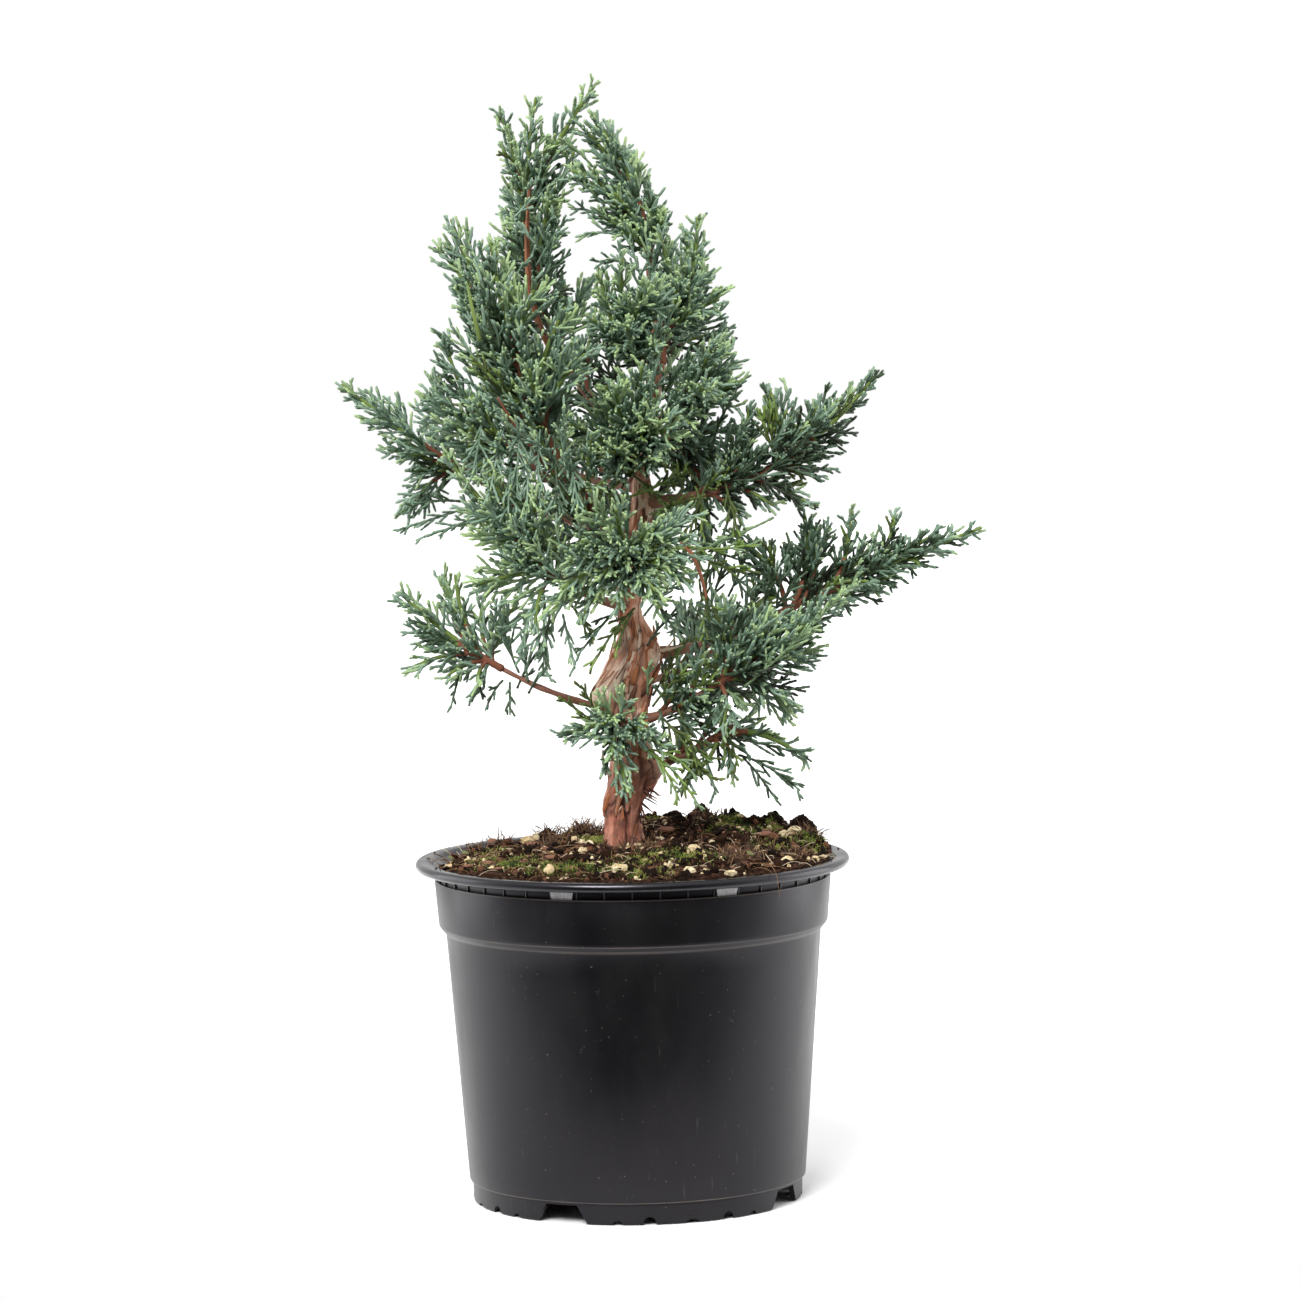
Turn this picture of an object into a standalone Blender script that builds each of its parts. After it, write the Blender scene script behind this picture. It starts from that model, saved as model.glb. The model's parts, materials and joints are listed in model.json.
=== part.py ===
"""Potted juniper with scale leaves, pruned open and trained up a twisted trunk.

Units are metres and +Z is up.  The origin is the middle of the pot's flat underside,
+X is the right of the front view and +Y points away from the front.

The pot and the soil are turned shapes.  The trunk is one solid with a spiral twist and a
burl.  Every bough is one tapering limb, cut clear of what it grows from.  Every mass of
foliage grows from one stem by a seeded rule, keeps to its own space, and is fused.
Sizes in the tables are in millimetres; MM brings them to metres.
"""

import math
import random
from collections import namedtuple

import bmesh
import bpy
import numpy as np
from mathutils import Matrix, Vector

MM = 0.001
CLEAR = 0.3 * MM  # gap between two pieces that touch
GOLDEN_ANGLE = math.radians(137.5)

# ---------------------------------------------------------------- pot and soil
POT_SEGMENTS = 36
POT_HEIGHT = 150 * MM
RIM_RADIUS = 95 * MM
WALL = 1.2 * MM
FOOT_RADIUS = 72.3 * MM
FOOT_HEIGHT = 9 * MM
FOOT_RING_WIDTH = 2.2 * MM
PAD_RADIUS = 38 * MM  # flat middle of the underside
CHANNEL_HEIGHT = 7.5 * MM  # raised channel between the pad and the foot ring
BODY_BOTTOM_RADIUS = 73.9 * MM
SHOULDER_RADIUS = 82.1 * MM
SHOULDER_HEIGHT = 117.6 * MM
BAND_BOTTOM_RADIUS = 85.3 * MM
BAND_BOTTOM_HEIGHT = 122.4 * MM
BAND_TOP_RADIUS = 86.8 * MM
BAND_TOP_HEIGHT = 141.7 * MM
RECESS_RADIUS = 84.8 * MM  # ring of small panels under the rim
RECESS_TOP_HEIGHT = 145.2 * MM
NOTCHES = 4  # large notches in the foot ring
NOTCH_TURN = math.radians(63)
NOTCH_WIDTH = 20 * MM
NOTCH_HEIGHT = 8 * MM
ARCH_RADIUS = 2.6 * MM  # two small round arches in each quarter of the foot ring
ARCH_OFFSET = math.radians(15)

SEAT_RADIUS = 19 * MM  # flat place that the trunk stands on
SEAT_HEIGHT = 154 * MM
SOIL_RINGS = (32 * MM, 48 * MM, 64 * MM, 79 * MM)
SOIL_EDGE_HEIGHT = 149.4 * MM
MOUND_CENTRE = Vector((34, 40)) * MM
MOUND_RADIUS = 42 * MM
MOUND_HEIGHT = 10.5 * MM
SOIL_LUMPS = 1.3 * MM

# ---------------------------------------------------------------- trunk
# x, y, height and radius of the trunk's axis, from the soil to the upper tip
TRUNK_COURSE = (
    (-4.5, 4, 154, 9.6),
    (-4.0, 4, 160, 8.2),
    (-3.0, 4, 172, 8.2),
    (0.0, 3, 186, 9.6),
    (-0.8, 2, 201, 8.6),
    (-1.6, 2, 217, 9.2),
    (0.0, 2, 230, 9.8),
    (2.6, 3, 244, 8.6),
    (0.6, 5, 257, 5.4),
    (2.6, 7, 274, 5.0),
    (6.0, 8, 297, 4.6),
    (6.0, 8, 317, 3.9),
    (11.0, 8, 342, 3.2),
    (12.8, 7, 378, 2.5),
    (12.0, 5, 409, 1.8),
)
TRUNK_SIDES = 12
TRUNK_STEP = 7 * MM
TWIST_RIDGES = 3
TWIST_DEPTH = 0.10
TWIST_LENGTH = 95 * MM  # height of one full turn of the ridges
FLARE_DEPTH = 0.22
FLARE_HEIGHT = 7 * MM
# a knot swells one side of the trunk: height, direction seen from above, size, spread
KNOTS = (
    (220, 195, 7.0, 9.0),  # burl on the left
    (238, 350, 3.0, 9.0),  # fold of bark on the right
    (188, 0, 3.6, 8.0),  # collar of the lowest boughs
    (306, 350, 2.2, 6.0),  # collar of the high right bough
)

# ---------------------------------------------------------------- boughs
# parent, place on the parent (height on the trunk in mm, or share of a bough),
# a point the curve leans to, the tip, and the radius at each end
Limb = namedtuple("Limb", "parent place lean tip radius")
BOUGHS = {
    "bough_left": Limb("trunk", 266, (-12, -26, 290), (-29, -29, 325), (4.2, 2.9)),
    "bough_left_side": Limb("bough_left", 0.62, (-32, -32, 318), (-44, -32, 326), (2.4, 1.7)),
    "bough_leader": Limb("trunk", 330, (-12, 14, 342), (-25, 13, 366), (3.0, 2.4)),
    "bough_left_outer": Limb("trunk", 288, (-30, 16, 296), (-62, 6, 315), (3.0, 1.9)),
    "bough_left_low": Limb("trunk", 214, (-25, -6, 217), (-55, -8, 234), (2.9, 1.9)),
    "bough_front": Limb("trunk", 260, (-14, -12, 262), (-27, -26, 273), (3.0, 2.0)),
    "bough_front_right": Limb("trunk", 280, (9, -14, 274), (3, -28, 282), (2.6, 1.8)),
    "bough_right_high": Limb("trunk", 305, (32, 0, 305), (58, -4, 317), (3.0, 1.9)),
    "bough_right_long": Limb("trunk", 238, (35, 20, 238), (64, 15, 253), (3.2, 2.1)),
    "bough_right_low": Limb("trunk", 208, (20, -8, 213), (37, -14, 226), (2.8, 1.9)),
    "bough_right_hanging": Limb("trunk", 187, (20, 2, 190), (34, 0, 200), (2.8, 1.8)),
    "bough_back": Limb("trunk", 274, (0, 26, 276), (-6, 38, 284), (2.8, 1.8)),
    "bough_back_high": Limb("trunk", 346, (16, 24, 352), (17, 32, 364), (2.4, 1.7)),
    "bough_back_left": Limb("trunk", 312, (-18, 28, 312), (-30, 38, 320), (2.6, 1.7)),
    "bough_back_low": Limb("trunk", 226, (14, 28, 224), (26, 36, 230), (2.6, 1.7)),
}
BOUGH_SIDES = 6
BOUGH_STEPS = 6

# ---------------------------------------------------------------- foliage
# A mass has one stem and, where it is broad, side plumes that leave the stem.
# place is the share of the stem where the plume leaves it, tip is its furthest point,
# right, left and deep are how far its twigs reach to each side of its axis, seen from
# the front along its growth, and towards and away from the front.
Plume = namedtuple("Plume", "place tip right left deep")
MASSES = {
    "foliage_top_left": ("bough_leader", (
        Plume(0.00, (-36, 0, 482), 26, 20, 22),
        Plume(0.60, (-10, 5, 487), 13, 12, 14),
        Plume(0.64, (-52, -2, 476), 10, 10, 12),
        Plume(0.06, (-14, 22, 400), 18, 16, 20),
    )),
    "foliage_top_right": ("trunk tip", (
        Plume(0.00, (-8, 0, 472), 16, 24, 22),
        Plume(0.22, (5, 8, 462), 14, 12, 16),
        Plume(0.12, (-17, -8, 452), 12, 12, 14),
    )),
    "foliage_right_crown": ("trunk 376", (
        Plume(0.00, (40, 6, 414), 20, 18, 24),
        Plume(0.42, (33, 2, 429), 11, 14, 14),
        Plume(0.35, (46, -8, 395), 16, 14, 18),
    )),
    "foliage_centre_crown": ("trunk 362", (
        Plume(0.00, (-14, -12, 410), 22, 16, 22),
        Plume(0.30, (14, -34, 400), 20, 18, 20),
    )),
    "foliage_right_shoulder": ("trunk 340", (
        Plume(0.00, (48, 0, 374), 24, 24, 26),
        Plume(0.25, (34, -36, 356), 20, 20, 20),
        Plume(0.20, (47, 2, 350), 16, 14, 18),
    )),
    "foliage_left_crown": ("bough_left", (
        Plume(0.00, (-73, -30, 434), 26, 26, 24),
        Plume(0.14, (-16, -48, 372), 22, 22, 20),
        Plume(0.40, (-36, -42, 402), 22, 20, 20),
        Plume(0.62, (-81, -28, 423), 12, 11, 13),
    )),
    "foliage_front_shoulder": ("trunk 320", (
        Plume(0.00, (-4, -46, 358), 26, 20, 22),
        Plume(0.30, (22, -42, 340), 20, 18, 20),
    )),
    "foliage_left_side": ("bough_left_side", (
        Plume(0.00, (-84, -32, 354), 22, 22, 22),
        Plume(0.10, (-66, -44, 322), 18, 18, 18),
        Plume(0.35, (-82, -34, 380), 15, 15, 17),
    )),
    "foliage_left_outer": ("bough_left_outer", (
        Plume(0.00, (-123, 0, 359), 17, 24, 22),
        Plume(0.18, (-96, 4, 302), 15, 15, 18),
    )),
    "foliage_front_left": ("bough_front", (
        Plume(0.00, (-78, -50, 331), 16, 18, 18),
        Plume(0.20, (-38, -56, 312), 18, 18, 18),
        Plume(0.10, (-66, -34, 272), 15, 15, 18),
    )),
    "foliage_front": ("bough_front_right", (
        Plume(0.00, (-4, -58, 316), 28, 28, 22),
        Plume(0.15, (27, -46, 298), 20, 20, 20),
        Plume(0.10, (-28, -50, 246), 13, 13, 14),
        Plume(0.10, (10, -54, 258), 15, 15, 14),
    )),
    "foliage_left_low": ("bough_left_low", (
        Plume(0.00, (-102, -10, 272), 18, 20, 20),
        Plume(0.30, (-80, 4, 278), 16, 16, 18),
        Plume(0.25, (-98, -14, 228), 14, 14, 18),
        Plume(0.14, (-66, -14, 217), 13, 13, 15),
        Plume(0.10, (-48, -2, 262), 14, 14, 16),
    )),
    "foliage_foot": ("trunk 208", (
        Plume(0.00, (-12, -38, 212), 22, 18, 18),
        Plume(0.35, (-2, -36, 182), 16, 18, 15),
        Plume(0.25, (-27, -20, 206), 12, 12, 13),
        Plume(0.25, (16, -26, 200), 13, 13, 13),
    )),
    "foliage_right_high": ("bough_right_high", (
        Plume(0.00, (110, -5, 360), 20, 16, 20),
        Plume(0.10, (66, 4, 360), 20, 18, 20),
        Plume(0.12, (92, -6, 316), 17, 17, 19),
    )),
    "foliage_inner_right": ("trunk 328", (
        Plume(0.00, (54, 16, 336), 17, 15, 18),
        Plume(0.30, (44, 20, 304), 14, 14, 15),
    )),
    "foliage_right_long": ("bough_right_long", (
        Plume(0.00, (156, 10, 294), 18, 16, 18),
        Plume(0.16, (84, 16, 298), 18, 18, 20),
        Plume(0.26, (110, 22, 292), 15, 15, 17),
        Plume(0.06, (46, 16, 290), 16, 18, 18),
    )),
    "foliage_right_low": ("bough_right_low", (
        Plume(0.00, (88, -12, 238), 20, 20, 22),
        Plume(0.30, (100, -26, 271), 12, 12, 14),
        Plume(0.10, (42, -24, 262), 20, 20, 20),
        Plume(0.22, (70, -14, 214), 16, 16, 16),
    )),
    "foliage_right_hanging": ("bough_right_hanging", (
        Plume(0.00, (78, 0, 191), 15, 13, 16),
        Plume(0.15, (42, -8, 184), 15, 15, 16),
        Plume(0.12, (56, 12, 212), 15, 15, 16),
        Plume(0.10, (24, -12, 184), 12, 12, 13),
    )),
    "foliage_back": ("bough_back", (
        Plume(0.00, (-14, 76, 304), 22, 22, 20),
        Plume(0.15, (24, 66, 298), 18, 18, 20),
        Plume(0.10, (-42, 56, 290), 16, 16, 18),
    )),
    "foliage_back_high": ("bough_back_high", (
        Plume(0.00, (24, 62, 412), 20, 20, 22),
        Plume(0.10, (44, 52, 376), 18, 18, 20),
        Plume(0.10, (0, 64, 374), 18, 18, 18),
    )),
    "foliage_back_left": ("bough_back_left", (
        Plume(0.00, (-66, 60, 352), 22, 22, 24),
        Plume(0.10, (-28, 70, 352), 18, 18, 20),
        Plume(0.12, (-50, 40, 384), 16, 16, 18),
    )),
    "foliage_back_low": ("bough_back_low", (
        Plume(0.00, (60, 58, 246), 20, 20, 22),
        Plume(0.10, (24, 68, 254), 18, 18, 18),
    )),
}
PLUME_BEND = 0.45  # how far along it a plume keeps its first heading
TWIG_STEP = 22 * MM
SPLAY = (math.radians(56), math.radians(32))  # twig to axis, at the base and at the tip
FORWARD = 1.25  # twigs curve on towards the plume's tip
TWIG_RADIUS = 1.3 * MM
PLUME_STEPS = 4
LEAF_STEP = 11 * MM  # also the width of a leaf where it leaves its twig
LEAF_LENGTH = 22 * MM
LEAF_ANGLE = math.radians(38)
SPACE_MARGIN = 1.5 * MM

SURFACES = {  # colour, roughness
    "pot": ((0.020, 0.020, 0.022), 0.45),
    "soil": ((0.060, 0.036, 0.022), 0.95),
    "trunk": ((0.250, 0.110, 0.070), 0.85),
    "bough": ((0.230, 0.090, 0.045), 0.80),
    "foliage": ((0.090, 0.190, 0.130), 0.70),
}


# ---------------------------------------------------------------- Blender helpers
def clear_scene():
    for thing in list(bpy.data.objects):
        bpy.data.objects.remove(thing, do_unlink=True)


def surface(name, kind):
    colour, roughness = SURFACES[kind]
    material = bpy.data.materials.new(name)
    material.use_nodes = True
    shader = material.node_tree.nodes["Principled BSDF"]
    shader.inputs["Base Color"].default_value = (*colour, 1)
    shader.inputs["Roughness"].default_value = roughness
    return material


def link(name, bm, collection=None):
    mesh = bpy.data.meshes.new(name)
    bm.to_mesh(mesh)
    bm.free()
    thing = bpy.data.objects.new(name, mesh)
    (collection or bpy.context.scene.collection).objects.link(thing)
    return thing


def finish(thing, kind):
    """Gives a finished piece its material and smooth shading."""
    thing.data.materials.clear()
    thing.data.materials.append(surface(thing.name, kind))
    thing.data.shade_smooth()
    thing.data.set_sharp_from_angle(angle=math.radians(40))


def combine(thing, operation, other, solver="EXACT"):
    """Applies one Boolean with an object or a whole collection."""
    boolean = thing.modifiers.new(operation, "BOOLEAN")
    boolean.operation = operation
    boolean.solver = solver
    if isinstance(other, bpy.types.Collection):
        boolean.operand_type = "COLLECTION"
        boolean.collection = other
    else:
        boolean.object = other
    graph = bpy.context.evaluated_depsgraph_get()
    mesh = bpy.data.meshes.new_from_object(thing.evaluated_get(graph))
    thing.modifiers.clear()
    thing.data = mesh


def remove(*things):
    for thing in things:
        bpy.data.objects.remove(thing, do_unlink=True)


def keep_largest_island(thing):
    """Drops loose scraps, and the wall of any hollow that fusing sealed."""
    bm = bmesh.new()
    bm.from_mesh(thing.data)
    islands, seen = [], set()
    for face in bm.faces:
        if face in seen:
            continue
        island, front = set(), [face]
        while front:
            current = front.pop()
            if current in island:
                continue
            island.add(current)
            front += [other for edge in current.edges for other in edge.link_faces]
        seen |= island
        islands.append(island)
    islands.sort(key=len)
    scraps = [face for island in islands[:-1] for face in island]
    bmesh.ops.delete(bm, geom=scraps, context="FACES")
    bm.to_mesh(thing.data)
    bm.free()


def turned(name, profile, segments):
    """Spins an open profile that starts and ends on the axis into a closed solid."""
    bm = bmesh.new()
    verts = [bm.verts.new((radius, 0, height)) for radius, height in profile]
    edges = [bm.edges.new(pair) for pair in zip(verts, verts[1:])]
    bmesh.ops.spin(
        bm, geom=verts + edges, cent=(0, 0, 0), axis=(0, 0, 1),
        angle=math.tau, steps=segments, use_merge=True,
    )
    bmesh.ops.remove_doubles(bm, verts=bm.verts, dist=0.01 * MM)
    bmesh.ops.recalc_face_normals(bm, faces=bm.faces)
    return link(name, bm)


def ring_solid(bm, rings):
    """Joins rings of points into one closed skin, flat at both ends."""
    loops = [[bm.verts.new(point) for point in ring] for ring in rings]
    sides = len(loops[0])
    for low, high in zip(loops, loops[1:]):
        for k in range(sides):
            bm.faces.new((low[k], low[(k + 1) % sides], high[(k + 1) % sides], high[k]))
    bm.faces.new(reversed(loops[0]))
    bm.faces.new(loops[-1])


# ---------------------------------------------------------------- curves
def even_shares(steps, last=1.0):
    return [last * k / steps for k in range(steps + 1)]


def bend(curve, share):
    start, lean, tip = curve
    return start * (1 - share) ** 2 + lean * (2 * share * (1 - share)) + tip * share**2


def heading(curve, share):
    start, lean, tip = curve
    return ((lean - start) * (1 - share) + (tip - lean) * share).normalized()


def across(direction):
    """Two directions square to a heading: right of its growth from the front, and deep."""
    right = Vector((0, 1, 0)).cross(direction)
    if right.length < 0.2:
        right = Vector((1, 0, 0)) - direction * direction.x
    right.normalize()
    return right, direction.cross(right).normalized()


def rings_along(curve, radii, sides, shares):
    rings = []
    right, deep = across(heading(curve, 0))
    for share in shares:
        direction = heading(curve, share)
        right = (right - direction * right.dot(direction)).normalized()
        deep = direction.cross(right)
        centre = bend(curve, share)
        radius = radii[0] + (radii[1] - radii[0]) * share
        rings.append([
            centre + radius * (right * math.cos(a) + deep * math.sin(a))
            for a in (math.tau * side / sides for side in range(sides))
        ])
    return rings


# ---------------------------------------------------------------- pot and soil
def offset_profile(profile, distance):
    """Moves a profile to its left by a distance, with mitred corners."""
    points = [Vector(point) for point in profile]
    sides = [(b - a).normalized() for a, b in zip(points, points[1:])]
    normals = [Vector((-side.y, side.x)) for side in sides]
    moved = [points[0] + normals[0] * distance]
    for before, after, point in zip(normals, normals[1:], points[1:]):
        mitre = (before + after).normalized()
        moved.append(point + mitre * distance / mitre.dot(after))
    moved.append(points[-1] + normals[-1] * distance)
    return [(point.x, point.y) for point in moved]


def wall_outside():
    return [
        (BODY_BOTTOM_RADIUS, FOOT_HEIGHT + 0.6 * MM),
        (SHOULDER_RADIUS, SHOULDER_HEIGHT),
        (SHOULDER_RADIUS + 1.2 * MM, SHOULDER_HEIGHT + 1.8 * MM),
        (BAND_BOTTOM_RADIUS - 0.3 * MM, BAND_BOTTOM_HEIGHT - 1.2 * MM),
        (BAND_BOTTOM_RADIUS, BAND_BOTTOM_HEIGHT),
        (BAND_TOP_RADIUS, BAND_TOP_HEIGHT),
        (RECESS_RADIUS, BAND_TOP_HEIGHT + 0.4 * MM),
        (RECESS_RADIUS, RECESS_TOP_HEIGHT),
    ]


def floor_inside():
    floor = CHANNEL_HEIGHT + WALL
    return [
        (0, WALL),
        (PAD_RADIUS - 1.4 * MM, WALL),
        (PAD_RADIUS + 1.6 * MM, floor),
        (BODY_BOTTOM_RADIUS - 3 * MM, floor),
    ]


def rim_inside():
    """From the wall's inner top, out along the flange and up to the lip."""
    return [
        (RECESS_RADIUS + 1.4 * MM, RECESS_TOP_HEIGHT + 1.4 * MM),
        (RIM_RADIUS - 3.8 * MM, POT_HEIGHT - 1.9 * MM),
        (RIM_RADIUS - 2.6 * MM, POT_HEIGHT - 0.3 * MM),
    ]


def pot_profile():
    ring_inner = FOOT_RADIUS - FOOT_RING_WIDTH
    underside = [
        (0, 0),
        (PAD_RADIUS, 0),
        (PAD_RADIUS + 3 * MM, CHANNEL_HEIGHT),
        (ring_inner - 0.4 * MM, CHANNEL_HEIGHT),
        (ring_inner, 0),
        (FOOT_RADIUS, 0),
        (FOOT_RADIUS + 0.2 * MM, FOOT_HEIGHT),
    ]
    lip = [
        (RIM_RADIUS - 1.0 * MM, POT_HEIGHT - 3.6 * MM),
        (RIM_RADIUS, POT_HEIGHT - 2.6 * MM),
        (RIM_RADIUS - 0.4 * MM, POT_HEIGHT - 0.6 * MM),
        (RIM_RADIUS - 1.4 * MM, POT_HEIGHT),
    ]
    outside = wall_outside()
    bottom, shoulder, band, top = outside[0], outside[1], outside[4], outside[-1]
    wall_inside = offset_profile([bottom, shoulder, band, top], WALL)
    inside = rim_inside()[::-1] + wall_inside[::-1] + floor_inside()[::-1]
    return underside + outside + lip + inside


def foot_cutter(width, height, turn, arched):
    """A block, or a round bar, that cuts one notch through the foot ring."""
    bm = bmesh.new()
    depth = 8 * MM
    if arched:
        bmesh.ops.create_cone(
            bm, cap_ends=True, segments=10, radius1=width, radius2=width, depth=depth,
            matrix=Matrix.Rotation(math.radians(90), 4, "Y"),
        )
    else:
        bmesh.ops.create_cube(bm, size=1, matrix=Matrix.Diagonal((depth, width, height * 2, 1)))
    middle = Vector((FOOT_RADIUS - FOOT_RING_WIDTH / 2, 0, 0))
    bm.transform(Matrix.Rotation(turn, 4, "Z") @ Matrix.Translation(middle))
    return link("cutter", bm)


def make_pot():
    pot = turned("pot", pot_profile(), POT_SEGMENTS)
    cutters = bpy.data.collections.new("cutters")
    bpy.context.scene.collection.children.link(cutters)
    quarter = math.tau / NOTCHES
    for k in range(NOTCHES):
        notch = NOTCH_TURN + k * quarter
        made = [foot_cutter(NOTCH_WIDTH, NOTCH_HEIGHT, notch, False)]
        for side in (-1, 1):
            turn = notch + quarter / 2 + side * ARCH_OFFSET
            made.append(foot_cutter(ARCH_RADIUS, 0, turn, True))
        for cutter in made:
            bpy.context.scene.collection.objects.unlink(cutter)
            cutters.objects.link(cutter)
    combine(pot, "DIFFERENCE", cutters)
    remove(*cutters.objects)
    bpy.data.collections.remove(cutters)
    finish(pot, "pot")


def soil_height(x, y):
    """The soil's surface: level with the rim, heaped behind the trunk to the right."""
    away = (Vector((x, y)) - MOUND_CENTRE).length / MOUND_RADIUS
    share = math.hypot(x, y) / RIM_RADIUS
    dome = (SEAT_HEIGHT - SOIL_EDGE_HEIGHT) * (1 - share**2)
    lumps = math.sin(x * 310 + 1.2) * math.cos(y * 270) + math.sin((x + y) * 190 + 0.6)
    heap = MOUND_HEIGHT * math.exp(-(away**2)) * min(1, 3 * (1 - share))
    return SOIL_EDGE_HEIGHT + dome + heap + SOIL_LUMPS * 0.5 * lumps * (1 - share**4)


def make_soil():
    gap = WALL + CLEAR
    wall = [
        (BODY_BOTTOM_RADIUS - gap, FOOT_HEIGHT + 2 * WALL),
        (SHOULDER_RADIUS - gap, SHOULDER_HEIGHT + CLEAR),
        (RECESS_RADIUS - gap, BAND_TOP_HEIGHT - 2 * WALL),
        (RECESS_RADIUS - gap, RECESS_TOP_HEIGHT + CLEAR),
    ]
    floor = [(radius - CLEAR, height + CLEAR) for radius, height in floor_inside()]
    floor[0] = (0, WALL + CLEAR)
    rim = [(radius - 1.5 * CLEAR, height + CLEAR) for radius, height in rim_inside()[:2]]
    top = [(radius, SOIL_EDGE_HEIGHT) for radius in reversed(SOIL_RINGS)]
    seat = [(SEAT_RADIUS, SEAT_HEIGHT - CLEAR), (0, SEAT_HEIGHT - CLEAR)]
    soil = turned("soil", floor + wall + rim + top + seat, POT_SEGMENTS)
    for vert in soil.data.vertices:
        radius = math.hypot(vert.co.x, vert.co.y)
        if vert.co.z > SOIL_EDGE_HEIGHT - 0.01 * MM and radius > SEAT_RADIUS + 1 * MM:
            vert.co.z = soil_height(vert.co.x, vert.co.y)
    finish(soil, "soil")


# ---------------------------------------------------------------- trunk
def trunk_axis(height):
    """x, y and radius of the trunk at a height, smooth through its course."""
    heights = [point[2] * MM for point in TRUNK_COURSE]
    height = min(max(height, heights[0]), heights[-1])
    k = max(i for i in range(len(heights) - 1) if heights[i] <= height)
    low, high = heights[k], heights[k + 1]
    share = (height - low) / (high - low)
    values = []
    for column in (0, 1, 3):
        data = [point[column] * MM for point in TRUNK_COURSE]
        before, after = max(k - 1, 0), min(k + 2, len(data) - 1)
        slope_low = (data[k + 1] - data[before]) / (heights[k + 1] - heights[before])
        slope_high = (data[after] - data[k]) / (heights[after] - heights[k])
        t2, t3 = share**2, share**3
        values.append(
            data[k] * (2 * t3 - 3 * t2 + 1) + data[k + 1] * (3 * t2 - 2 * t3)
            + (slope_low * (t3 - 2 * t2 + share) + slope_high * (t3 - t2)) * (high - low)
        )
    return values


def trunk_radius(height, angle):
    radius = trunk_axis(height)[2]
    base = TRUNK_COURSE[0][2] * MM
    turn = TWIST_RIDGES * (angle - math.tau * (height - base) / TWIST_LENGTH)
    radius *= 1 + TWIST_DEPTH * math.cos(turn)
    flare = math.exp(-(((height - base) / FLARE_HEIGHT) ** 2))
    radius *= 1 + FLARE_DEPTH * flare * (1 + 0.6 * math.cos(4 * angle + 0.7))
    for knot_height, direction, size, spread in KNOTS:
        rise = (height - knot_height * MM) / (spread * MM)
        facing = max(0, math.cos(angle - math.radians(direction))) ** 3
        radius += size * MM * facing * math.exp(-(rise**2))
    return radius


def trunk_rings(extra=0):
    base, top = TRUNK_COURSE[0][2] * MM, TRUNK_COURSE[-1][2] * MM
    steps = round((top - base) / TRUNK_STEP)
    rings = []
    for k in range(steps + 1):
        height = base + (top - base) * k / steps
        x, y, _ = trunk_axis(height)
        ring = []
        for side in range(TRUNK_SIDES):
            angle = math.tau * side / TRUNK_SIDES
            radius = trunk_radius(height, angle) + extra
            ring.append((x + radius * math.cos(angle), y + radius * math.sin(angle), height))
        rings.append(ring)
    return rings


def make_trunk():
    bm = bmesh.new()
    ring_solid(bm, trunk_rings())
    finish(link("trunk", bm), "trunk")


def trunk_point(height):
    x, y, _ = trunk_axis(height)
    return Vector((x, y, height))


# ---------------------------------------------------------------- boughs
def bough_curve(name):
    limb = BOUGHS[name]
    if limb.parent == "trunk":
        start = trunk_point(limb.place * MM)
    else:
        start = bend(bough_curve(limb.parent), limb.place)
    return start, Vector(limb.lean) * MM, Vector(limb.tip) * MM


def swollen(parent):
    """The parent limb made larger by the gap, to cut what grows from it."""
    bm = bmesh.new()
    if parent == "trunk":
        ring_solid(bm, trunk_rings(CLEAR))
    else:
        radii = [radius * MM + CLEAR for radius in BOUGHS[parent].radius]
        shares = even_shares(BOUGH_STEPS)
        ring_solid(bm, rings_along(bough_curve(parent), radii, BOUGH_SIDES, shares))
    return link("cutter", bm)


def make_bough(name):
    limb = BOUGHS[name]
    bm = bmesh.new()
    radii = [radius * MM for radius in limb.radius]
    shares = even_shares(BOUGH_STEPS)
    ring_solid(bm, rings_along(bough_curve(name), radii, BOUGH_SIDES, shares))
    bough = link(name, bm)
    cutter = swollen(limb.parent)
    combine(bough, "DIFFERENCE", cutter)
    remove(cutter)
    keep_largest_island(bough)
    finish(bough, "bough")


# ---------------------------------------------------------------- growth of the foliage
def mass_start(limb_name):
    """Where a mass's stem starts, its heading and its radius."""
    if limb_name == "trunk tip":
        top = TRUNK_COURSE[-1]
        start = trunk_point(top[2] * MM) + Vector((0, 0, CLEAR))
        return start, Vector((0, 0, 1)), top[3] * MM * 0.8
    if limb_name.startswith("trunk"):
        height = float(limb_name.split()[1]) * MM
        return trunk_point(height), None, 1.6 * MM
    curve = bough_curve(limb_name)
    direction = heading(curve, 1)
    return curve[2] + direction * CLEAR, direction, BOUGHS[limb_name].radius[1] * MM * 0.9


def plume_curves(name):
    """The axis of each plume of a mass; the first is the mass's stem."""
    limb_name, plumes = MASSES[name]
    start, direction, radius = mass_start(limb_name)
    curves = []
    for plume in plumes:
        tip = Vector(plume.tip) * MM
        if curves:
            start = bend(curves[0], plume.place)
            direction = (heading(curves[0], plume.place) + (tip - start).normalized() * 1.5)
        elif direction is None:
            flat = Vector((tip.x - start.x, tip.y - start.y, 0)).normalized()
            direction = flat + Vector((0, 0, 0.35))
        direction = direction.normalized()
        reach = (tip - start).length
        curves.append((start, start + direction * reach * PLUME_BEND, tip))
    return curves, radius


def egg(angle, right, left, deep):
    """Reach of a plume's section, which may differ to the right and the left."""
    wide = right if math.cos(angle) > 0 else left
    return MM / math.hypot(math.cos(angle) / wide, math.sin(angle) / deep)


def plume_width(share):
    """A plume is broadest near a third of its length and narrows to its tip."""
    return (0.55 + 0.45 * min(1, share / 0.25)) * (1 - 0.92 * share**1.7)


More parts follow.
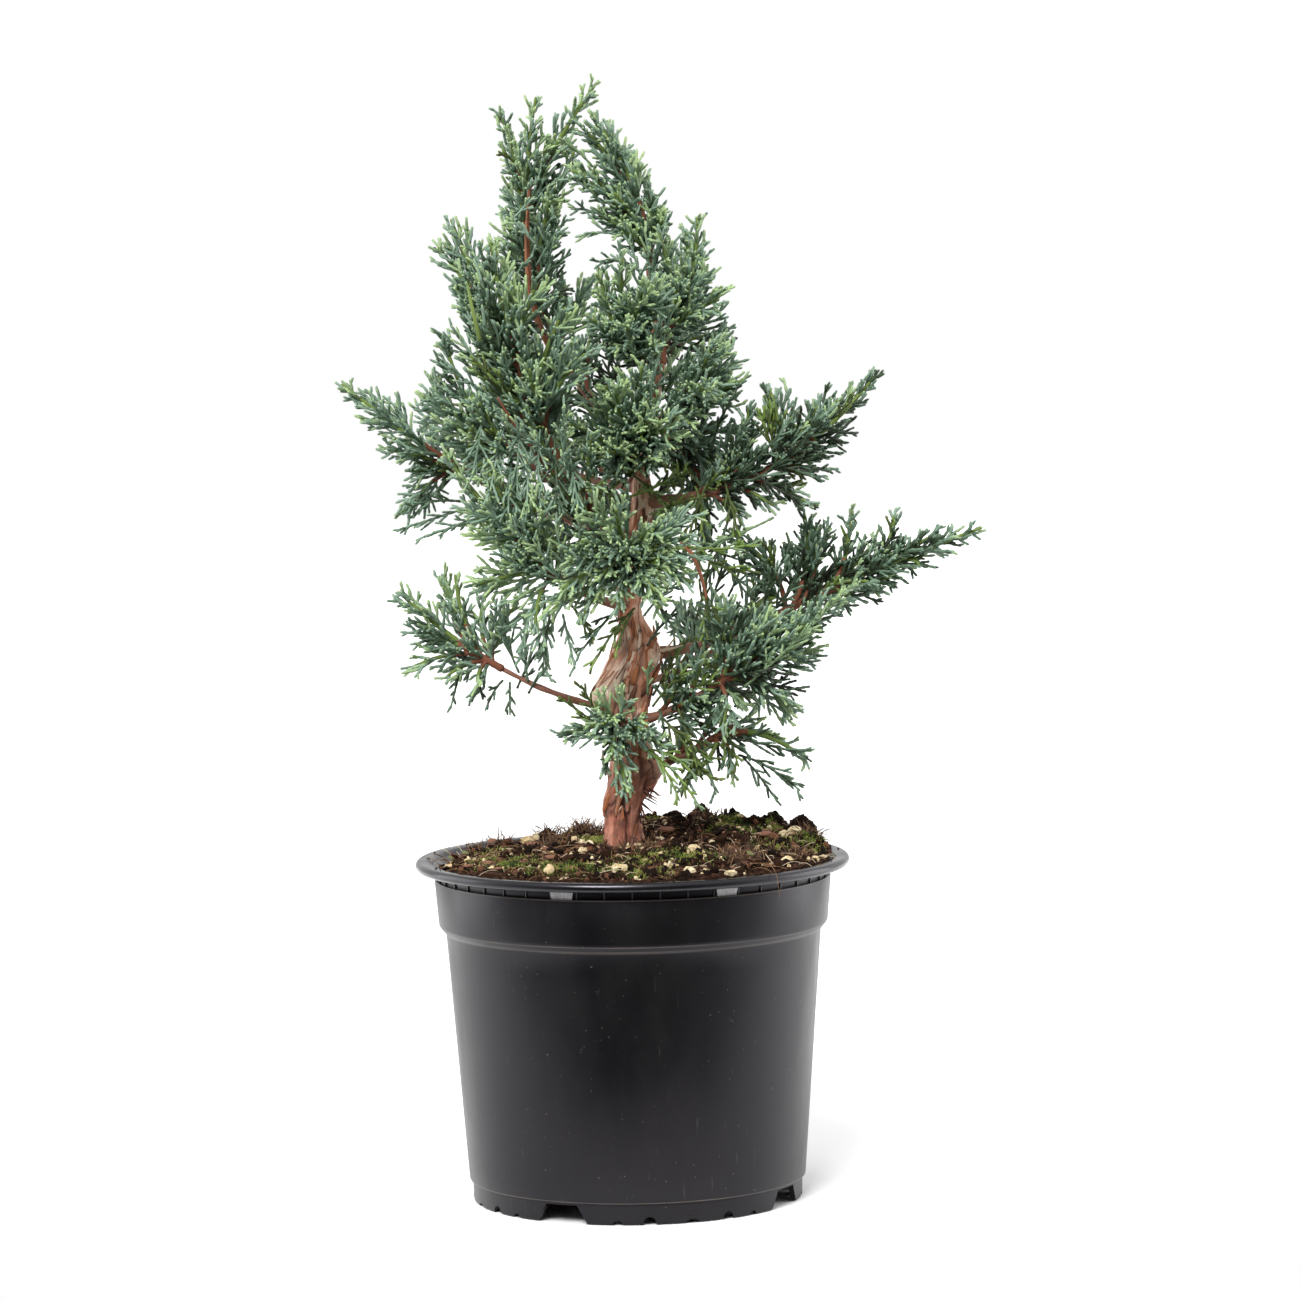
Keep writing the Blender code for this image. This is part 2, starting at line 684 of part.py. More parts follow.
def twigs_on(name, number, curve, plume):
    """Curves of the twigs that leave one plume's axis, by the seeded rule."""
    length = (curve[1] - curve[0]).length + (curve[2] - curve[1]).length
    count = max(2, round(length / TWIG_STEP))
    twigs = []
    for k in range(count):
        draw = random.Random(f"{name}/{number}/{k}")
        share = 0.08 + 0.84 * (k + 0.5 + draw.uniform(-0.25, 0.25)) / count
        angle = k * GOLDEN_ANGLE + number * 1.1 + draw.uniform(-0.35, 0.35)
        direction = heading(curve, share)
        right, deep = across(direction)
        out = right * math.cos(angle) + deep * math.sin(angle)
        reach = egg(angle, plume.right, plume.left, plume.deep) * plume_width(share)
        reach *= draw.uniform(0.85, 1.1)
        splay = SPLAY[0] + (SPLAY[1] - SPLAY[0]) * share
        ahead = reach / math.tan(splay)
        start = bend(curve, share)
        lean = start + out * reach * 0.6 + direction * ahead * 0.45
        tip = start + out * reach + direction * ahead * FORWARD
        twigs.append((start, lean, tip))
    return twigs


def leaves_on(curve, shares, size, draw):
    """Two leaves stand on two sides of a three-sided twig, between two of its rings."""
    right, deep = across(heading(curve, 0))
    leaves = {}
    for k, (low, high) in enumerate(zip(shares, shares[1:])):
        share = (low + high) / 2
        direction = heading(curve, share)
        for side in (k % 3, (k + 1) % 3):
            angle = math.tau * (side + 0.5) / 3 + draw.uniform(-0.3, 0.3)
            out = right * math.cos(angle) + deep * math.sin(angle)
            way = direction * math.cos(LEAF_ANGLE) + out * math.sin(LEAF_ANGLE)
            length = size * (1 - 0.35 * share) * draw.uniform(0.8, 1.15)
            root = bend(curve, share)
            leaves[k, side] = (root, root + way * length)
    return leaves


# ---------------------------------------------------------------- each mass's own space
def samples(points, radius):
    """Points with a radius, as rows, for measuring clearances."""
    return np.array([(*point, radius) for point in points])


def leaf_room(root, tip):
    """Samples along a leaf, which narrows from its root to its tip."""
    return np.array([
        (*root.lerp(tip, share), 0.4 * LEAF_STEP * (1 - share)) for share in (0.3, 0.5, 0.7, 0.85, 1)
    ])


def limb_samples():
    rows = []
    base, top = TRUNK_COURSE[0][2] * MM, TRUNK_COURSE[-1][2] * MM
    for k in range(120):
        height = base + (top - base) * k / 119
        widest = max(trunk_radius(height, math.tau * side / 12) for side in range(12))
        rows.append(samples([trunk_point(height)], widest))
    for name, limb in BOUGHS.items():
        curve = bough_curve(name)
        for k in range(41):
            share = k / 40
            radius = (limb.radius[0] + (limb.radius[1] - limb.radius[0]) * share) * MM
            rows.append(samples([bend(curve, share)], radius))
    return np.vstack(rows)


def spine_samples():
    return {
        name: np.array([
            tuple(bend(curve, k / 20)) for curve in plume_curves(name)[0] for k in range(21)
        ])
        for name in MASSES
    }


def nearest(point, rows):
    return float(np.sqrt(((rows - np.array(point)) ** 2).sum(axis=1)).min())


def gap_to(own, others):
    """Smallest gap between two sets of samples."""
    if not len(others):
        return 1.0
    away = np.sqrt(((own[:, None, :3] - others[None, :, :3]) ** 2).sum(axis=2))
    return float((away - own[:, None, 3] - others[None, :, 3]).min())


def in_own_space(name, point, spines):
    own = nearest(point, spines[name])
    return all(own + SPACE_MARGIN < nearest(point, rows)
               for other, rows in spines.items() if other != name)


# ---------------------------------------------------------------- fused foliage
def spray_solid(name, curve, radii, shares, leaves, collection):
    """A three-sided twig that ends in a point, with leaves drawn out of its sides."""
    rings = rings_along(curve, radii, 3, shares)
    bm = bmesh.new()
    loops = [[bm.verts.new(point) for point in ring] for ring in rings]
    tip = bm.verts.new(curve[2])
    bm.faces.new(reversed(loops[0]))
    for k in range(3):
        bm.faces.new((loops[-1][k], loops[-1][(k + 1) % 3], tip))
        for step, (low, high) in enumerate(zip(loops, loops[1:])):
            corners = (low[k], low[(k + 1) % 3], high[(k + 1) % 3], high[k])
            if (step, k) not in leaves:
                bm.faces.new(corners)
                continue
            point = bm.verts.new(leaves[step, k][1])
            for side in range(4):
                bm.faces.new((corners[side], corners[(side + 1) % 4], point))
    return link(name, bm, collection)


def grow_mass(name, spines, taken, limbs):
    """Models one mass and returns the samples of the room it takes."""
    curves, radius = plume_curves(name)
    parts = bpy.data.collections.new("parts")
    bpy.context.scene.collection.children.link(parts)
    room = []
    stem = None

    def fits(rows):
        if gap_to(rows, limbs) < 2 * CLEAR or gap_to(rows, taken) < 2 * CLEAR:
            return False
        return all(in_own_space(name, row[:3], spines) for row in rows)

    def spray(label, curve, radii, shares, size, first_leaf, collection):
        draw = random.Random(label)
        others = np.vstack(room) if room else ()
        leaves = {
            place: leaf for place, leaf in leaves_on(curve, shares, size, draw).items()
            if place[0] >= first_leaf and fits(leaf_room(*leaf))
            and gap_to(leaf_room(*leaf)[1:], others) > 0
        }
        room.extend(leaf_room(*leaf) for leaf in leaves.values())
        room.append(samples([bend(curve, k / 30) for k in range(31)], radii[0]))
        return spray_solid(label, curve, radii, shares, leaves, collection)

    for number, (curve, plume) in enumerate(zip(curves, MASSES[name][1])):
        thick = radius * (1 if number == 0 else 0.75)
        shares = even_shares(PLUME_STEPS, 0.88)
        label = f"{name}/{number}"
        made = spray(label, curve, (thick, TWIG_RADIUS), shares, LEAF_LENGTH,
                     PLUME_STEPS // 2, parts if stem else None)
        stem = stem or made
        for k, twig in enumerate(twigs_on(name, number, curve, plume)):
            if not fits(samples([bend(twig, share) for share in (0.3, 0.65, 1.0)], TWIG_RADIUS)):
                continue
            length = (twig[2] - twig[0]).length
            clear = min(0.3, 1.3 * thick / length)  # the leaves start outside the axis
            count = max(1, round(length * (1 - clear) / LEAF_STEP))
            step = (1 - clear) / (count + 0.7)
            shares = [0] + [clear + step * k for k in range(count + 1)]
            spray(f"{label}/{k}", twig, (TWIG_RADIUS, TWIG_RADIUS), shares, LEAF_LENGTH, 1, parts)
    combine(stem, "UNION", parts, "MANIFOLD")  # EXACT opens hairline gaps between thin leaves
    remove(*parts.objects)
    bpy.data.collections.remove(parts)
    if MASSES[name][0].startswith("trunk "):
        cutter = swollen("trunk")
        combine(stem, "DIFFERENCE", cutter)
        remove(cutter)
    keep_largest_island(stem)
    stem.name = stem.data.name = name
    finish(stem, "foliage")
    return np.vstack(room)


def make_foliage():
    spines = spine_samples()
    limbs = limb_samples()
    taken = np.empty((0, 4))
    for name in MASSES:
        taken = np.vstack([taken, grow_mass(name, spines, taken, limbs)])


def main():
    clear_scene()
    make_pot()
    make_soil()
    make_trunk()
    for name in BOUGHS:
        make_bough(name)
    make_foliage()


main()
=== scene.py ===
"""Looks of a potted juniper: pot, soil, bark, twigs and scale leaves, in metres with +Z up.

It is laid out as an add-on.  Each operator makes one piece, or one group of like pieces,
from the settings of its property group, and the panel lists them in order.
"""

import json
import math
import random
from collections import namedtuple

import bmesh
import bpy
import numpy as np
from bpy.props import FloatProperty, FloatVectorProperty, IntProperty, PointerProperty
from mathutils import Matrix, Vector, noise

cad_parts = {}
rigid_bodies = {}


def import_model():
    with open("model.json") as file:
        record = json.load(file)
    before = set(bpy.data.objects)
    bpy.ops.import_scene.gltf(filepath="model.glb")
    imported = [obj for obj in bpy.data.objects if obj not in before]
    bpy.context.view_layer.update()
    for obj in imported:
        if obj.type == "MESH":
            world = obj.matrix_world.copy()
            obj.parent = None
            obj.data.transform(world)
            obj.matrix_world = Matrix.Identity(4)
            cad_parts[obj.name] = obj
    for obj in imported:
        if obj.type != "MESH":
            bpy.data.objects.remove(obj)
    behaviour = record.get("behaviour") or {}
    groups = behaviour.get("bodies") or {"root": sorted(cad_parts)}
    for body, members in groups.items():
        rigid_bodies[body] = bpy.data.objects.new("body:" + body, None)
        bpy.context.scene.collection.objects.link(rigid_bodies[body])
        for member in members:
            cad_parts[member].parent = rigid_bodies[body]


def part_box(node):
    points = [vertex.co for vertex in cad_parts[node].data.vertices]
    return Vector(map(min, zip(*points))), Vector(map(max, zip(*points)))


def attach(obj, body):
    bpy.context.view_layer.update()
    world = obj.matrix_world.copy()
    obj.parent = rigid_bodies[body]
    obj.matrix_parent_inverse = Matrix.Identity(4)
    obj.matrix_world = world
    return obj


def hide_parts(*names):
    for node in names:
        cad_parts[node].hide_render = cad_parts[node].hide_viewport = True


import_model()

bl_info = {
    "name": "Potted Juniper",
    "version": (1, 0, 0),
    "blender": (4, 5, 0),
    "location": "View3D > Sidebar > Juniper",
    "description": "Pot, soil, bark, twigs and scale leaves of a small trained juniper",
    "category": "Add Mesh",
}

MM = 0.001
BODY = "root"

# ---------------------------------------------------------------- pot
RIM_RADIUS, _, RIM_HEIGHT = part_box("pot")[1]
WALL = 1.2 * MM
FOOT_RADIUS = 72.3 * MM
FOOT_HEIGHT = 9 * MM
FOOT_RING_WIDTH = 2.2 * MM
PAD_RADIUS = 38 * MM  # flat middle of the underside
CHANNEL_HEIGHT = 7.5 * MM
BODY_BOTTOM_RADIUS = 73.9 * MM
SHOULDER_RADIUS = 82.1 * MM
SHOULDER_HEIGHT = 117.6 * MM
BAND_BOTTOM_RADIUS = 85.3 * MM
BAND_BOTTOM_HEIGHT = 122.4 * MM
BAND_TOP_RADIUS = 86.8 * MM
BAND_TOP_HEIGHT = 141.7 * MM
RECESS_RADIUS = 84.8 * MM
RECESS_TOP_HEIGHT = 145.2 * MM
LIP_ROUND = 2.1 * MM
INNER_WALL = (  # radius and height down the inside of the rim
    (88.1 * MM, 149.1 * MM), (87.6 * MM, 147.8 * MM), (85.7 * MM, 146.4 * MM),
    (RECESS_RADIUS - WALL, 144.8 * MM),
)
NOTCHES = 4
NOTCH_TURN = 63  # degrees
HOLLOWS = (  # degrees from the middle of a quarter of the foot ring, radius, height
    (-14, 2.7, 3.4), (14.5, 2.6, 3.2), (-14, 9, 1.0), (14.5, 9, 1.0), (0.8, 6, 1.5),
    (-25, 2.2, 1.9), (25.5, 2.0, 1.8), (-25, 6, 0.7), (25.5, 6, 0.7),
)
DUST_AND_HIGHLIGHT_LINES = (  # height, half width and strength of a pale edge line, part dust and part painted highlight
    (141.5 * MM, 0.28 * MM, 0.55), (SHOULDER_HEIGHT + 1.2 * MM, 0.5 * MM, 0.30),
    (121.2 * MM, 0.3 * MM, 0.35), (9.5 * MM, 0.22 * MM, 0.4),
)
PANEL_SIZE = Vector((10.6, 0.7, 3.9)) * MM
PANEL_TURNS = (-20.5, 28)  # degrees from the front

# ---------------------------------------------------------------- soil
SEAT_HEIGHT = 154 * MM
SOIL_EDGE_HEIGHT = 149.4 * MM
SOIL_RADIUS = 87.4 * MM
CLODS = (  # x, y, spread and height in millimetres
    (46, 52, 5, 4.0), (30, 52, 5, 4.0), (65, 42, 7, 7.5), (77, 24, 8, 13.0), (-38, 66, 6, 6.0),
    (-22, 72, 6, 5.0), (6, 68, 8, 4.5), (54, 30, 5, 3.0), (18, 66, 5, 4.0), (-58, 52, 5, 4.0),
    (58, -34, 8, 2.5), (-26, 26, 9, 3.5), (20, 20, 8, 3.0), (44, 4, 9, 3.0), (-50, -20, 8, 2.0),
    (80, 8, 7, 5.5), (66, -6, 8, 2.5), (14, -30, 9, 1.5), (-64, 20, 7, 2.0), (-6, 30, 7, 2.5),
    (28, -52, 8, 1.5), (-70, 30, 5, 3.5), (-44, 58, 6, 3.5), (-32, 40, 7, 3.0),
)
SUNK_SIDE = (-0.75, 0.66)  # the soil lies lower towards the back left
SUNK_DEPTH = 5 * MM
MOUND_CENTRE = Vector((34, 40)) * MM
MOUND_RADIUS = 42 * MM
MOUND_HEIGHT = 8.0 * MM
PUMICE = (  # x, y and half size of the larger grains in millimetres
    (-47, 56, 4.2), (-42, 41, 3.4), (-52, 1, 2.8), (-6, -63, 4.0), (27, -25, 3.6), (42, -76, 3.2),
    (67, -40, 3.2), (79, -27, 2.8), (72, 17, 4.2), (-60, -52, 2.6), (-14, -46, 2.6), (12, -52, 2.4),
    (48, 40, 3.0), (20, 54, 3.2), (-20, 60, 2.8), (-72, 6, 2.6), (34, 66, 2.8), (0, 44, 2.6),
)
LARGE_CHIPS = ((-34, -31, 4.4), (15, 13, 4.2), (-62, -34, 3.6), (58, 12, 4.0))
MOSS_PATCHES = (  # x, y, radius in millimetres, and how thick the moss is
    (-52, -42, 15, 0.9), (-20, -60, 18, 1.0), (-36, -58, 12, 0.8), (12, -39, 17, 1.0),
    (29, -42, 14, 1.0), (6, -72, 12, 0.6), (47, 18, 16, 1.0), (76, 2, 11, 0.9),
    (46, 40, 10, 0.9), (62, 34, 10, 0.8), (-60, 14, 12, 0.5), (-26, 52, 18, 0.8),
    (12, 66, 16, 0.8), (60, -14, 10, 0.5), (-70, -16, 10, 0.5), (-16, 14, 8, 0.6),
)
WEEDS = ((-79, -4, 8), (-75, 14, 6), (-66, 34, 6), (72, 34, 5), (50, -62, 4))  # x, y, leaves
TUFTS = (  # x, y, spread and count of clumps of brown fibres
    (47, -44, 9, 240), (-20, 28, 9, 260), (-38, 66, 6, 80), (70, -30, 7, 90), (33, 40, 6, 60),
    (-58, 52, 5, 60), (4, -14, 10, 60), (80, 10, 6, 70), (-70, 30, 5, 40), (-34, 18, 8, 120),
)
SPILLED_CRUMBS = 70
HAIRS_OVER_RIM = 34

# ---------------------------------------------------------------- trunk and boughs
TRUNK_COURSE = (  # x, y, height and radius in millimetres
    (-4.0, 4, 154, 7.9), (-3.9, 4, 160, 7.7), (-3.4, 4, 172, 8.1), (0.0, 3, 186, 9.6),
    (-0.8, 2, 201, 8.6), (-1.6, 2, 217, 9.2), (0.0, 2, 230, 9.8), (2.6, 3, 244, 8.6),
    (0.6, 5, 257, 5.4), (2.6, 7, 274, 5.0), (6.0, 8, 297, 4.6), (6.0, 8, 317, 3.9),
    (11.0, 8, 342, 3.2), (12.8, 7, 378, 2.5), (12.0, 5, 409, 1.8),
)
TRUNK_BASE, TRUNK_TOP = TRUNK_COURSE[0][2] * MM, TRUNK_COURSE[-1][2] * MM
TWIST_RIDGES = 3
TWIST_DEPTH = 0.07
TWIST_LENGTH = 95 * MM
GRAIN_LENGTH = 380 * MM  # the bark's own grain turns more slowly than the ridges
GRAIN_RADIUS = 8.5 * MM
WORN_PATCHES = (  # height, direction in degrees, spread in height and round the trunk
    (227, 212, 14, 50), (238, 332, 9, 22), (248, 262, 7, 44), (300, 290, 14, 80),
    (233, 272, 11, 24), (176, 250, 6, 20), (206, 300, 8, 24), (326, 250, 9, 60), (232, 60, 9, 30),
)
GROOVES = (  # height, direction, spread in height and round the trunk, and depth
    (223, 256, 12, 11, 4.0), (243, 238, 6, 22, 2.6), (236, 296, 8, 10, 2.0), (178, 262, 9, 7, 2.2),
    (166, 286, 12, 6, 1.8), (190, 304, 7, 12, 2.2), (182, 322, 6, 9, 2.4), (168, 244, 9, 6, 1.6),
)
KNOTS = (  # height, direction in degrees, size, spread
    (220, 200, 7.4, 9), (233, 322, 1.6, 8), (238, 350, 3, 9), (188, 0, 3.6, 8), (306, 350, 2.2, 6),
)
DAMP_TOP = 196 * MM  # the bark is darker and redder below this
FLARE_DEPTH = 0.07
FLARE_HEIGHT = 7 * MM
STUBS = (  # start, lean and tip of a dead stub, and its two radii
    ((8, -2, 240), (16, -4, 240), (24, -5, 243), 1.1, 0.35),
    ((15, -4, 240), (18, -4, 243), (20, -5, 246), 0.6, 0.3),
    ((-9, -4, 186), (-13, -6, 190), (-12, -7, 198), 0.9, 0.5),
)
DRY_NEEDLES = 17
PEELED_BOUGH = "bough_right_long"
SLIM_BOUGH, SLIM_SHARE = "bough_left_low", 0.76
Limb = namedtuple("Limb", "parent place lean tip radius")
BOUGHS = {
    "bough_left": Limb("trunk", 266, (-12, -26, 290), (-29, -29, 325), (4.2, 2.9)),
    "bough_left_side": Limb("bough_left", 0.62, (-32, -32, 318), (-44, -32, 326), (2.4, 1.7)),
    "bough_leader": Limb("trunk", 330, (-12, 14, 342), (-25, 13, 366), (3.0, 2.4)),
    "bough_left_outer": Limb("trunk", 288, (-30, 16, 296), (-62, 6, 315), (3.0, 1.9)),
    "bough_left_low": Limb("trunk", 214, (-25, -6, 217), (-55, -8, 234), (2.9, 1.9)),
    "bough_front": Limb("trunk", 260, (-14, -12, 262), (-27, -26, 273), (3.0, 2.0)),
    "bough_front_right": Limb("trunk", 280, (9, -14, 274), (3, -28, 282), (2.6, 1.8)),
    "bough_right_high": Limb("trunk", 305, (32, 0, 305), (58, -4, 317), (3.0, 1.9)),
    "bough_right_long": Limb("trunk", 238, (35, 20, 238), (64, 15, 253), (3.2, 2.1)),
    "bough_right_low": Limb("trunk", 208, (20, -8, 213), (37, -14, 226), (2.8, 1.9)),
    "bough_right_hanging": Limb("trunk", 187, (20, 2, 190), (34, 0, 200), (2.8, 1.8)),
    "bough_back": Limb("trunk", 274, (0, 26, 276), (-6, 38, 284), (2.8, 1.8)),
    "bough_back_high": Limb("trunk", 346, (16, 24, 352), (17, 32, 364), (2.4, 1.7)),
    "bough_back_left": Limb("trunk", 312, (-18, 28, 312), (-30, 38, 320), (2.6, 1.7)),
    "bough_back_low": Limb("trunk", 226, (14, 28, 224), (26, 36, 230), (2.6, 1.7)),
}
